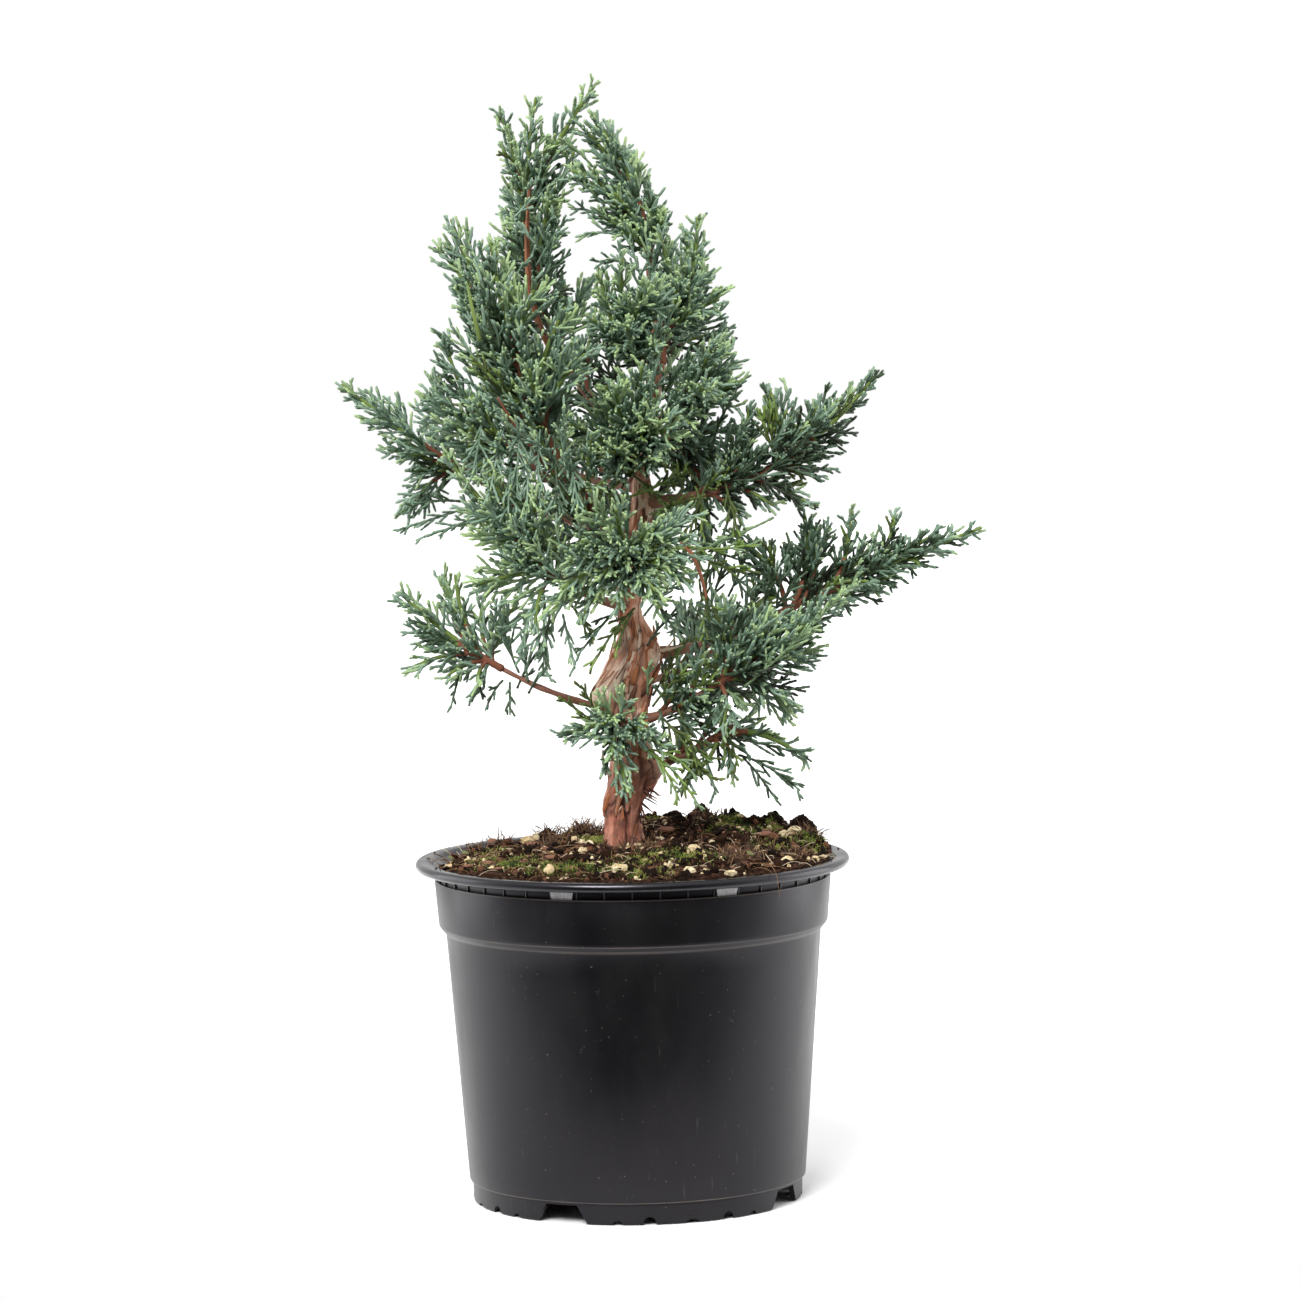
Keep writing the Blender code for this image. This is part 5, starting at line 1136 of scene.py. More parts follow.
def pot_profile():
    """The wall's outline from the middle of the underside, round the lip, to the inner floor."""
    ring_inner = FOOT_RADIUS - FOOT_RING_WIDTH
    round_foot = 0.8 * MM
    points = beside(
        (0, 0, 0, 0), (PAD_RADIUS, 0, 0, 0), (PAD_RADIUS, 3, CHANNEL_HEIGHT, 0),
        (ring_inner, -0.4, CHANNEL_HEIGHT, 0), (ring_inner, 0, 0, 0.3), (ring_inner, 0.4, 0, 0),
    )
    points += arc((FOOT_RADIUS - round_foot, round_foot), round_foot, -90, 0, 4)
    points += beside(
        (FOOT_RADIUS, 0.15, FOOT_HEIGHT, -0.3), (FOOT_RADIUS, 0.5, FOOT_HEIGHT, 0),
        (BODY_BOTTOM_RADIUS, -0.3, FOOT_HEIGHT, 0.15),
    )
    courses, wall_foot = 12, FOOT_HEIGHT + 0.8 * MM
    points += [
        (BODY_BOTTOM_RADIUS + (SHOULDER_RADIUS - BODY_BOTTOM_RADIUS) * k / courses,
         wall_foot + (SHOULDER_HEIGHT - wall_foot) * k / courses)
        for k in range(courses + 1)
    ]
    points += beside(
        (SHOULDER_RADIUS, 0.5, SHOULDER_HEIGHT, 0.9),
        (SHOULDER_RADIUS, 1.5, SHOULDER_HEIGHT, 2.0),
        (BAND_BOTTOM_RADIUS, -0.7, BAND_BOTTOM_HEIGHT, -1.6),
        (BAND_BOTTOM_RADIUS, -0.1, BAND_BOTTOM_HEIGHT, -0.5),
        (BAND_BOTTOM_RADIUS, 0, BAND_BOTTOM_HEIGHT, 0.4),
        (BAND_TOP_RADIUS, -0.05, BAND_TOP_HEIGHT, -0.7),
        (BAND_TOP_RADIUS, -0.3, BAND_TOP_HEIGHT, 0),
        (RECESS_RADIUS, 0.2, BAND_TOP_HEIGHT, 0.2),
        (RECESS_RADIUS, 0, BAND_TOP_HEIGHT, 0.6),
        (RECESS_RADIUS, 0.4, RECESS_TOP_HEIGHT, -0.3),
        (RECESS_RADIUS, 1.0, RECESS_TOP_HEIGHT, 0),
        (RIM_RADIUS, -3.4, RIM_HEIGHT, -4.1), (RIM_RADIUS, -1.7, RIM_HEIGHT, -4.1),
    )
    points += arc((RIM_RADIUS - LIP_ROUND, RIM_HEIGHT - LIP_ROUND), LIP_ROUND, -70, 80, 12)
    points += beside((RIM_RADIUS, -4.5, RIM_HEIGHT, -0.1), (RIM_RADIUS, -6.2, RIM_HEIGHT, -0.35))
    points += INNER_WALL
    points += [
        (BAND_BOTTOM_RADIUS - 2.2 * MM, BAND_BOTTOM_HEIGHT),
        (SHOULDER_RADIUS - WALL, SHOULDER_HEIGHT),
        (BODY_BOTTOM_RADIUS - WALL, CHANNEL_HEIGHT + 2 * WALL),
        (BODY_BOTTOM_RADIUS - 3 * MM, CHANNEL_HEIGHT + WALL),
        (PAD_RADIUS + 1.6 * MM, CHANNEL_HEIGHT + WALL), (PAD_RADIUS - 1.4 * MM, WALL), (0, WALL),
    ]
    return points


def spun(name, profile, steps):
    """Extrudes one point along a profile and spins it round the pot's axis."""
    clear_selection()
    bpy.ops.mesh.primitive_plane_add(size=MM)
    thing = named(name)
    bpy.ops.object.mode_set(mode="EDIT")
    bpy.ops.mesh.merge(type="CENTER")
    bpy.ops.transform.translate(value=(profile[0][0], 0, profile[0][1]))
    for low, high in zip(profile, profile[1:]):
        step = (high[0] - low[0], 0, high[1] - low[1])
        bpy.ops.mesh.extrude_region_move(TRANSFORM_OT_translate={"value": step})
    bpy.ops.mesh.select_all(action="SELECT")
    bpy.ops.mesh.spin(steps=steps, angle=math.tau, center=(0, 0, 0), axis=(0, 0, 1))
    bpy.ops.mesh.select_all(action="SELECT")
    bpy.ops.mesh.remove_doubles(threshold=0.02 * MM)
    bpy.ops.mesh.normals_make_consistent(inside=False)
    bpy.ops.object.mode_set(mode="OBJECT")
    return thing


def block(name, size, radius, height):
    """A block at the front of the pot, with its size in its mesh."""
    clear_selection()
    bpy.ops.mesh.primitive_cube_add(size=1, location=(0, -radius, height))
    thing = named(name)
    thing.scale = size
    bpy.ops.object.transform_apply(location=False, rotation=False, scale=True)
    return thing


def bevel(thing, offset):
    activate(thing)
    bpy.ops.object.mode_set(mode="EDIT")
    bpy.ops.mesh.select_all(action="SELECT")
    bpy.ops.mesh.bevel(offset=offset, segments=2, affect="EDGES")
    bpy.ops.object.mode_set(mode="OBJECT")


def turned(thing, degrees):
    """Turns a piece at the front of the pot round the axis, leaving its place in its mesh."""
    thing.data.transform(Matrix.Rotation(math.radians(degrees), 4, "Z") @ thing.matrix_world)
    thing.matrix_world = Matrix.Identity(4)
    return thing


def notch_cutter(sizes, degrees):
    """A block through the foot ring, wider at the ground than at its top."""
    size = (sizes.notch_top, 10 * MM, 2 * sizes.notch_height)
    cutter = block("notch_cutter", size, FOOT_RADIUS, 0)
    for vert in cutter.data.vertices:
        if vert.co.z < 0:
            vert.co.x *= 2 * sizes.notch_bottom / sizes.notch_top - 1
    return turned(cutter, degrees)


def round_cutter(radius, height, degrees):
    """A bar through the foot ring whose top stands at a height."""
    clear_selection()
    bpy.ops.mesh.primitive_cylinder_add(
        vertices=28, radius=radius, depth=10 * MM, rotation=(math.radians(90), 0, 0),
        location=(0, -FOOT_RADIUS, height - radius),
    )
    return turned(named("round_cutter"), degrees)


def join(things, name):
    activate(things[0])
    for thing in things:
        thing.select_set(True)
    bpy.ops.object.join()
    return named(name)


def cut(thing, cutter):
    activate(thing)
    bpy.ops.object.modifier_add(type="BOOLEAN")
    modifier = thing.modifiers[-1]
    modifier.operation = "DIFFERENCE"
    modifier.solver = "EXACT"
    modifier.object = cutter
    bpy.ops.object.modifier_apply(modifier=modifier.name)
    bpy.data.objects.remove(cutter, do_unlink=True)


class JUNIPER_OT_pot(bpy.types.Operator):
    """Spin the pot's wall, cut its foot ring and shade it as black plastic"""

    bl_idname = "juniper.pot"
    bl_label = "Pot"

    def execute(self, context):
        sizes, colours = context.scene.juniper_pot, context.scene.juniper_colours
        pot = spun("pot_wall", pot_profile(), sizes.steps)
        quarter = 360 / NOTCHES
        turns = [90 + NOTCH_TURN + k * quarter for k in range(NOTCHES)]
        cut(pot, join([notch_cutter(sizes, turn) for turn in turns], "notch_cutters"))
        for offset, radius, height in HOLLOWS:
            hollows = [round_cutter(radius * MM, height * MM, turn + quarter / 2 + offset)
                       for turn in turns]
            cut(pot, join(hollows, "hollow_cutters"))
        paint(pot, plastic_material(colours, "pot_plastic", 0.33, 0.32),
              plastic_material(colours, "rim_plastic", 0.22, 0.5))
        for face in pot.data.polygons:
            if face.center.z > RECESS_TOP_HEIGHT:
                face.material_index = 1
        activate(pot)
        bpy.ops.object.shade_smooth_by_angle(angle=math.radians(32))
        settle(pot, "pot", "pot")
        return {"FINISHED"}


class JUNIPER_OT_rim_ribs(bpy.types.Operator):
    """Stand thin ribs and two pale panels in the ring under the rim"""

    bl_idname = "juniper.rim_ribs"
    bl_label = "Rim ribs and panels"

    def execute(self, context):
        sizes, colours = context.scene.juniper_pot, context.scene.juniper_colours
        low, high = BAND_TOP_HEIGHT - 0.1 * MM, RECESS_TOP_HEIGHT + 0.6 * MM
        reach = 0.9 * MM
        ribs = block("rim_ribs", (sizes.rib_width, reach, high - low),
                     RECESS_RADIUS + 0.35 * reach, (low + high) / 2)
        bevel(turned(ribs, 0), 0.1 * MM)
        bpy.ops.object.mode_set(mode="EDIT")
        bpy.ops.mesh.select_all(action="SELECT")
        bpy.ops.mesh.spin(
            steps=sizes.ribs - 1, dupli=True, angle=math.tau * (sizes.ribs - 1) / sizes.ribs,
            center=(0, 0, 0), axis=(0, 0, 1),
        )
        bpy.ops.object.mode_set(mode="OBJECT")
        # the ribs are lighter than the pot as a painted highlight where their edges catch the light
        paint(ribs, plain("rib_plastic", linear(84, 84, 88), 0.4))
        settle(ribs, "pot")
        # two pale plates as painted light where the openings under the rim show light
        plates = join([self.panel(turn) for turn in PANEL_TURNS], "rim_panels")
        paint(plates, panel_material(colours))
        settle(plates, "pot")
        return {"FINISHED"}

    def panel(self, turn):
        """A thin plate, wider at its top, that leans out with the ring."""
        middle = (BAND_TOP_HEIGHT + RECESS_TOP_HEIGHT) / 2 + 0.1 * MM
        plate = block("rim_panel", PANEL_SIZE, RECESS_RADIUS + 0.55 * MM, middle)
        for vert in plate.data.vertices:
            if vert.co.z > 0:
                vert.co.y -= 0.5 * MM
            else:
                vert.co.x *= 0.86
        bevel(plate, 0.15 * MM)
        return turned(plate, turn)


# ---------------------------------------------------------------- soil
def soil_spots(label, number, edge=86 * MM, clear=13 * MM):
    """Seeded places on the soil, clear of the trunk."""
    draw = random.Random(label)
    trunk = Vector(TRUNK_COURSE[0][:2]) * MM
    spots = []
    while len(spots) < number:
        radius, turn = edge * math.sqrt(draw.random()), math.tau * draw.random()
        x, y = radius * math.cos(turn), radius * math.sin(turn)
        room = inner_radius(soil_surface(x, y)) - 1.5 * MM
        if (Vector((x, y)) - trunk).length > clear and radius < room:
            spots.append((x, y, draw))
    return spots


def ball_template(splits):
    bm = bmesh.new()
    bmesh.ops.create_icosphere(bm, subdivisions=splits, radius=1)
    verts = np.array([vert.co[:] for vert in bm.verts])
    faces = np.array([[vert.index for vert in face.verts] for face in bm.faces])
    bm.free()
    return verts, faces


def lumps_piece(name, rows, splits, rough, materials):
    """Many small stones or crumbs from one ball, each stretched, turned and dented.

    A row is a place, three half sizes and a slot."""
    ball, faces = ball_template(splits)
    draw = np.random.default_rng(len(rows) + splits)
    total = len(rows)
    places, sizes, slots = (np.array(part) for part in zip(*rows))
    w, x, y, z = unit(draw.normal(size=(total, 4))).T
    spin = np.stack([
        1 - 2 * (y * y + z * z), 2 * (x * y - z * w), 2 * (x * z + y * w),
        2 * (x * y + z * w), 1 - 2 * (x * x + z * z), 2 * (y * z - x * w),
        2 * (x * z - y * w), 2 * (y * z + x * w), 1 - 2 * (x * x + y * y),
    ], axis=1).reshape(total, 3, 3)
    dents = 1 + rough * draw.uniform(-1, 1, size=(total, len(ball), 1))
    skin = (ball[None] * dents) @ spin * sizes[:, None, :] + places[:, None, :]
    corners = faces[None] + (np.arange(total) * len(ball))[:, None, None]
    settle(joined_mesh(name, skin.reshape(-1, 3), corners.ravel(), np.full(total * len(faces), 3),
                       np.repeat(slots, len(faces)), materials, False), "soil")


def lump(draw, x, y, size, rise, least, slots):
    """A row for a stone or crumb, sunk or raised by a share of its size."""
    place = (x, y, soil_surface(x, y) + size * draw.uniform(*rise))
    return place, [size * draw.uniform(least, 1.2) for _ in range(3)], draw.choice(slots)


class JUNIPER_OT_soil(bpy.types.Operator):
    """Lay the soil's surface, with its lumps, inside the pot"""

    bl_idname = "juniper.soil"
    bl_label = "Soil surface"

    def execute(self, context):
        sizes, colours = context.scene.juniper_soil, context.scene.juniper_colours
        clear_selection()
        bpy.ops.mesh.primitive_circle_add(
            vertices=sizes.segments, radius=SOIL_RADIUS, location=(0, 0, SOIL_EDGE_HEIGHT))
        soil = named("soil_surface")
        bpy.ops.object.mode_set(mode="EDIT")
        bpy.ops.mesh.select_all(action="SELECT")
        bpy.ops.mesh.extrude_region_move(TRANSFORM_OT_translate={"value": (0, 0, -9 * MM)})
        bpy.ops.transform.resize(value=(0.93, 0.93, 1))
        bpy.ops.object.mode_set(mode="OBJECT")
        for edge in soil.data.edges:
            edge.select = all(soil.data.vertices[v].co.z > -1 * MM for v in edge.vertices)
        bpy.ops.object.mode_set(mode="EDIT")
        for k in range(sizes.rings, 1, -1):
            bpy.ops.mesh.extrude_region_move(TRANSFORM_OT_translate={"value": (0, 0, 0)})
            bpy.ops.transform.resize(value=((k - 1) / k, (k - 1) / k, 1))
        bpy.ops.mesh.extrude_region_move(TRANSFORM_OT_translate={"value": (0, 0, 0)})
        bpy.ops.mesh.merge(type="CENTER")
        bpy.ops.mesh.select_all(action="SELECT")
        bpy.ops.mesh.normals_make_consistent(inside=False)
        bpy.ops.object.mode_set(mode="OBJECT")
        bpy.ops.object.transform_apply(location=True, rotation=False, scale=False)
        for vert in soil.data.vertices:
            if vert.co.z > SOIL_EDGE_HEIGHT - 1 * MM:
                vert.co.z = soil_surface(vert.co.x, vert.co.y)
                pull = min(1, inner_radius(vert.co.z) / max(1e-6, vert.co.xy.length))
                vert.co.x *= pull
                vert.co.y *= pull
        paint(soil, soil_material(colours))
        bpy.ops.object.shade_smooth()
        settle(soil, "soil", "soil")
        return {"FINISHED"}


class JUNIPER_OT_grains(bpy.types.Operator):
    """Scatter peat crumbs, bark chips and pale pumice grains on the soil"""

    bl_idname = "juniper.grains"
    bl_label = "Crumbs and grains"

    def execute(self, context):
        sizes, colours = context.scene.juniper_soil, context.scene.juniper_colours
        peat = plain_set(colours, ("peat", "peat_dark", "peat_red"), 0.95, 0.1)
        lumps_piece("peat_crumbs", self.crumbs(sizes), 1, 0.28, peat)
        chips = []
        for x, y, draw in soil_spots("chips", sizes.chips, 84 * MM):
            size = draw.uniform(1.6, 3.8) * MM
            thick = size * draw.uniform(0.2, 0.4)
            chips.append((soil_point(x, y, 0.4 * MM), (size, size * 0.5, thick), 0))
        for x, y, size in LARGE_CHIPS:
            place = soil_point(x * MM, y * MM, 1.2 * MM)
            chips.append((place, at(size, size * 0.6, size * 0.35), 0))
        bark = plain("bark_chip", linear(116, 78, 58), 0.85)
        lumps_piece("bark_chips", chips, 2, 0.14, [bark])
        grains = []
        for x, y, size in PUMICE:
            place = soil_point(x * MM, y * MM, size * 0.3 * MM)
            grains.append((place, at(size * 0.84, size * 0.62, size * 0.5), 0))
        for x, y, draw in soil_spots("pumice", sizes.pumice, 85 * MM):
            size = min(2.5, 0.6 + draw.expovariate(1.7)) * MM
            grains.append(lump(draw, x, y, size, (-0.15, 0.4), 0.5, (0, 0, 1)))
        stones = [pumice_material(colours), plain("pumice_dusty", linear(194, 170, 132), 0.95)]
        lumps_piece("pumice_grains", grains, 2, 0.23, stones)
        return {"FINISHED"}

    def crumbs(self, sizes):
        """Crumbs all over the soil, some spilled on the rim, and more on the clods."""
        crumbs = []
        for x, y, draw in soil_spots("crumbs", sizes.crumbs):
            size = min(2.4, draw.lognormvariate(-0.3, 0.55)) * MM
            crumbs.append(lump(draw, x, y, size, (-0.2, 0.6), 0.45, (0, 0, 1, 1, 1, 2)))
        draw = random.Random("spilled")
        for _ in range(SPILLED_CRUMBS):
            turn, radius = math.tau * draw.random(), draw.uniform(88.2, 92) * MM
            size = draw.uniform(0.25, 0.7) * MM
            place = (radius * math.cos(turn), radius * math.sin(turn), RIM_HEIGHT + 0.2 * MM)
            crumbs.append((place, (size, size * 0.8, size * 0.6), draw.choice((0, 1))))
        for clod_x, clod_y, spread, tall in CLODS:
            for _ in range(int(26 * tall)):
                x = (clod_x + draw.gauss(0, spread * 0.45)) * MM
                y = (clod_y + draw.gauss(0, spread * 0.45)) * MM
                if math.hypot(x, y) < 84 * MM:
                    size = draw.uniform(0.5, 1.7) * MM
                    high = soil_surface(x, y) + draw.uniform(-0.5, 1.5) * MM
                    stretch = [size * draw.uniform(0.5, 1.1) for _ in range(3)]
                    crumbs.append(((x, y, high), stretch, draw.choice((0, 1, 1))))
        return crumbs


class JUNIPER_OT_moss(bpy.types.Operator):
    """Grow moss in patches, with small weed leaves near the rim"""

    bl_idname = "juniper.moss"
    bl_label = "Moss and weeds"

    def execute(self, context):
        sizes, colours = context.scene.juniper_soil, context.scene.juniper_colours
        blades = []
        draw = random.Random("moss")
        while len(blades) < sizes.moss:
            x0, y0, spread, thick = draw.choice(MOSS_PATCHES)
            if draw.random() > thick:
                continue
            x, y = draw.gauss(x0, spread * 0.45) * MM, draw.gauss(y0, spread * 0.45) * MM
            if math.hypot(x, y) > 85 * MM or noise.noise(Vector((x, y, 3)) * 160) < -0.16:
                continue
            root = soil_point(x, y, -0.2 * MM)
            tall = draw.uniform(1.0, 3.0) * MM
            way = Vector((draw.gauss(0, 0.7), draw.gauss(0, 0.7), 1)).normalized()
            lean = root + Vector((way.x * 0.2, way.y * 0.2, way.z)) * tall * 0.6
            shade = noise.noise(Vector((x, y, 9)) * 90) + draw.gauss(0, 0.25)
            slot = 1 if shade < -0.15 else (0 if shade < 0.12 else 2)
            blades.append(
                plain_tube(root, lean, root + way * tall, 0.36 * MM, 0.24 * MM, slot, 0.6))
        moss = [
            plain("moss", colours.moss, 0.7, 0.25), plain("moss_dark", colours.moss_dark, 0.8, 0.15),
            plain("moss_yellow", linear(148, 152, 78), 0.7, 0.25),
        ]
        settle(tube_piece("moss_blades", blades, 2 * MM, 3, moss, blade=True), "soil")
        self.weeds(colours)
        return {"FINISHED"}

    def weeds(self, colours):
        """A few red-brown rosettes: bent stalks that each end in a flat round leaf."""
        draw = random.Random("weeds")
        stalks, leaves = [], []
        for x0, y0, number in WEEDS:
            centre = at(x0, y0, 0)
            centre.z = soil_surface(centre.x, centre.y)
            for k in range(number):
                out = outward(math.tau * k / number + draw.uniform(-0.3, 0.3))
                rise = draw.uniform(0.5, 1.6)
                tip = centre + (out + Vector((0, 0, rise))).normalized() * draw.uniform(3.5, 7) * MM
                stalks.append(plain_tube(centre, centre + at(0, 0, 2), tip, 0.32 * MM, 0.26 * MM))
                end = tip + (out + Vector((0, 0, 0.35))).normalized() * draw.uniform(3, 5) * MM
                leaves.append(plain_tube(tip, (tip + end) / 2 + at(0, 0, 0.6), end,
                                         1.9 * MM, 1.9 * MM, draw.choice((0, 0, 1)), 0.12))
        tints = [plain("weed_leaf", colours.weed, 0.6),
                 plain("weed_leaf_green", linear(96, 98, 52), 0.6)]
        settle(tube_piece("weed_stalks", stalks, 1.5 * MM, 5, tints), "soil")
        settle(tube_piece("weed_leaves", leaves, 0.6 * MM, 8, tints, blade=True, least=6), "soil")


class JUNIPER_OT_fibres(bpy.types.Operator):
    """Lay rootlets and dry hairs on the soil, some of them over the rim"""

    bl_idname = "juniper.fibres"
    bl_label = "Rootlets"

    def execute(self, context):
        sizes, colours = context.scene.juniper_soil, context.scene.juniper_colours
        fibre = [
            plain("fibre", colours.fibre, 0.85), plain("fibre_dark", linear(74, 50, 38), 0.9),
            plain("fibre_pale", linear(196, 178, 150), 0.85),
            plain("fibre_brown", linear(84, 60, 40), 0.85),
        ]
        draw = random.Random("tufts")
        hairs = [*self.lying(sizes), *self.tufts(draw), *self.over_rim(draw), *self.standing(sizes)]
        settle(tube_piece("rootlets", hairs, 1.6 * MM, 4, fibre, least=4), "soil")
        return {"FINISHED"}

    def lying(self, sizes):
        for x, y, draw in soil_spots("fibres", sizes.fibres, 85 * MM):
            turn, reach = math.tau * draw.random(), draw.uniform(5, 17) * MM
            start, out = soil_point(x, y), outward(turn)
            tip = start + out * reach
            if math.hypot(tip.x, tip.y) > 86 * MM:
                tip = start - out * reach
            tip.z = soil_surface(tip.x, tip.y) + draw.uniform(-0.5, 1.5) * MM
            lean = (start + tip) / 2
            lean += at(draw.gauss(0, 2.5), draw.gauss(0, 2.5), draw.uniform(1, 4.5))
            thick = draw.uniform(0.10, 0.24) * MM
            yield plain_tube(start, lean, tip, thick, thick * 0.6, draw.choice((0, 0, 1, 2)))

    def tufts(self, draw):
        for x0, y0, spread, number in TUFTS:
            for _ in range(number):
                x, y = draw.gauss(x0, spread * 0.5) * MM, draw.gauss(y0, spread * 0.5) * MM
                if math.hypot(x, y) > 84 * MM:
                    continue
                start = soil_point(x, y, -0.5 * MM)
                way = Vector((draw.gauss(0, 1), draw.gauss(0, 1), draw.uniform(0.2, 1.6)))
                tip = start + way.normalized() * draw.uniform(4, 10) * MM
                lean = (start + tip) / 2 + at(draw.gauss(0, 1.4), draw.gauss(0, 1.4), 1.2)
                yield plain_tube(start, lean, tip, 0.24 * MM, 0.12 * MM, draw.choice((0, 1, 1, 3)))

    def over_rim(self, draw):
        for _ in range(HAIRS_OVER_RIM):
            out = outward(math.tau * draw.random())
            start, over = out * draw.uniform(80, 85) * MM, draw.uniform(90, 96) * MM
            start.z = soil_surface(start.x, start.y)
            skew = out.cross(Vector((0, 0, 1))) * draw.gauss(0, 4) * MM
            tip = out * over + skew + Vector((0, 0, RIM_HEIGHT + draw.uniform(0.3, 1.6) * MM))
            lean = (start + tip) / 2 + at(0, 0, draw.uniform(1.5, 4))
            yield plain_tube(start, lean, tip, 0.16 * MM, 0.1 * MM, draw.choice((0, 0, 2)))
        ridge = at(61, -74.5, 151)
        yield plain_tube(at(58, -58, 152), at(59, -68, 155), ridge, 0.2 * MM, 0.16 * MM)
        yield plain_tube(ridge, at(62, -77, 149), at(62.5, -76, 140), 0.16 * MM, 0.08 * MM)

    def standing(self, sizes):
        for x, y, draw in soil_spots("standing", sizes.fibres // 4, 84 * MM):
            start = soil_point(x, y, -0.5 * MM)
            way = Vector((draw.gauss(0, 0.6), draw.gauss(0, 0.6), 1)).normalized()
            tip = start + way * draw.uniform(3, 8) * MM
            lean = (start + tip) / 2 + at(0, 0, 1)
            yield plain_tube(start, lean, tip, 0.16 * MM, 0.08 * MM, draw.choice((0, 1)))


# ---------------------------------------------------------------- bark
def grain_of(turn, height):
    """A point's place in straight grain: the trunk's twist taken out, on an even tube."""
    straight = turn - math.tau * (height - TRUNK_BASE) / GRAIN_LENGTH
    return Vector((math.cos(straight) * GRAIN_RADIUS, math.sin(straight) * GRAIN_RADIUS, height))


def stretched(point, scale, along):
    return noise.noise(Vector((point.x * scale, point.y * scale, point.z * scale * along)))


def bark_relief(grain, settings):
    """Plates that end in steps, cracks between them and fine fibres; and the cracks' depth."""
    warped = grain + Vector((0, 0, 6 * MM * stretched(grain, 130, 1)))
    split = abs(stretched(warped, 120, 0.2) + 0.3 * stretched(grain, 420, 0.35))
    crack = max(0, 1 - split / 0.08)
    plate = stretched(warped, 90, 0.34) + 0.4 * stretched(grain, 330, 0.4)
    steps = math.floor(plate * 5) / 5
    fibre = stretched(grain, 640, 0.14) + 0.8 * stretched(grain, 820, 0.6)
    relief = settings.plate_depth * (0.75 * plate + 0.6 * steps) + settings.strand_depth * 0.4 * fibre
    return relief - settings.crack_depth * crack, crack


def worn_share(turn, height):
    """How far the bark has peeled to pale wood near the burl and the old cuts."""
    share = sum(near_spot(height, turn, *spot) for spot in WORN_PATCHES)
    ragged = stretched(grain_of(turn, height), 260, 0.35)
    return clamped(1.7 * share + 0.9 * ragged - 0.45)


def grained_tube(name, rings, grains, wear):
    """A closed skin through rings of points, with grain and wear stored on its points."""
    verts = np.array([point for ring in rings for point in ring])
    sides, levels = len(rings[0]), len(rings)
    k = np.arange(sides)
    corners = np.concatenate([bands(levels, sides), k[::-1], (levels - 1) * sides + k])
    sizes = np.concatenate([np.full((levels - 1) * sides, 4), [sides, sides]])
    thing = joined_mesh(name, verts, corners, sizes, np.zeros(len(sizes)), [])
    for label, kind, key, rows in (
        ("grain", "FLOAT_VECTOR", "vector", [tuple(grain) for grain in grains]),
        ("wear", "FLOAT_COLOR", "color", [(*shares, 1) for shares in wear]),
    ):
        stored = thing.data.attributes.new(label, kind, "POINT")
        stored.data.foreach_set(key, np.array(rows, np.float32).ravel())
    return thing


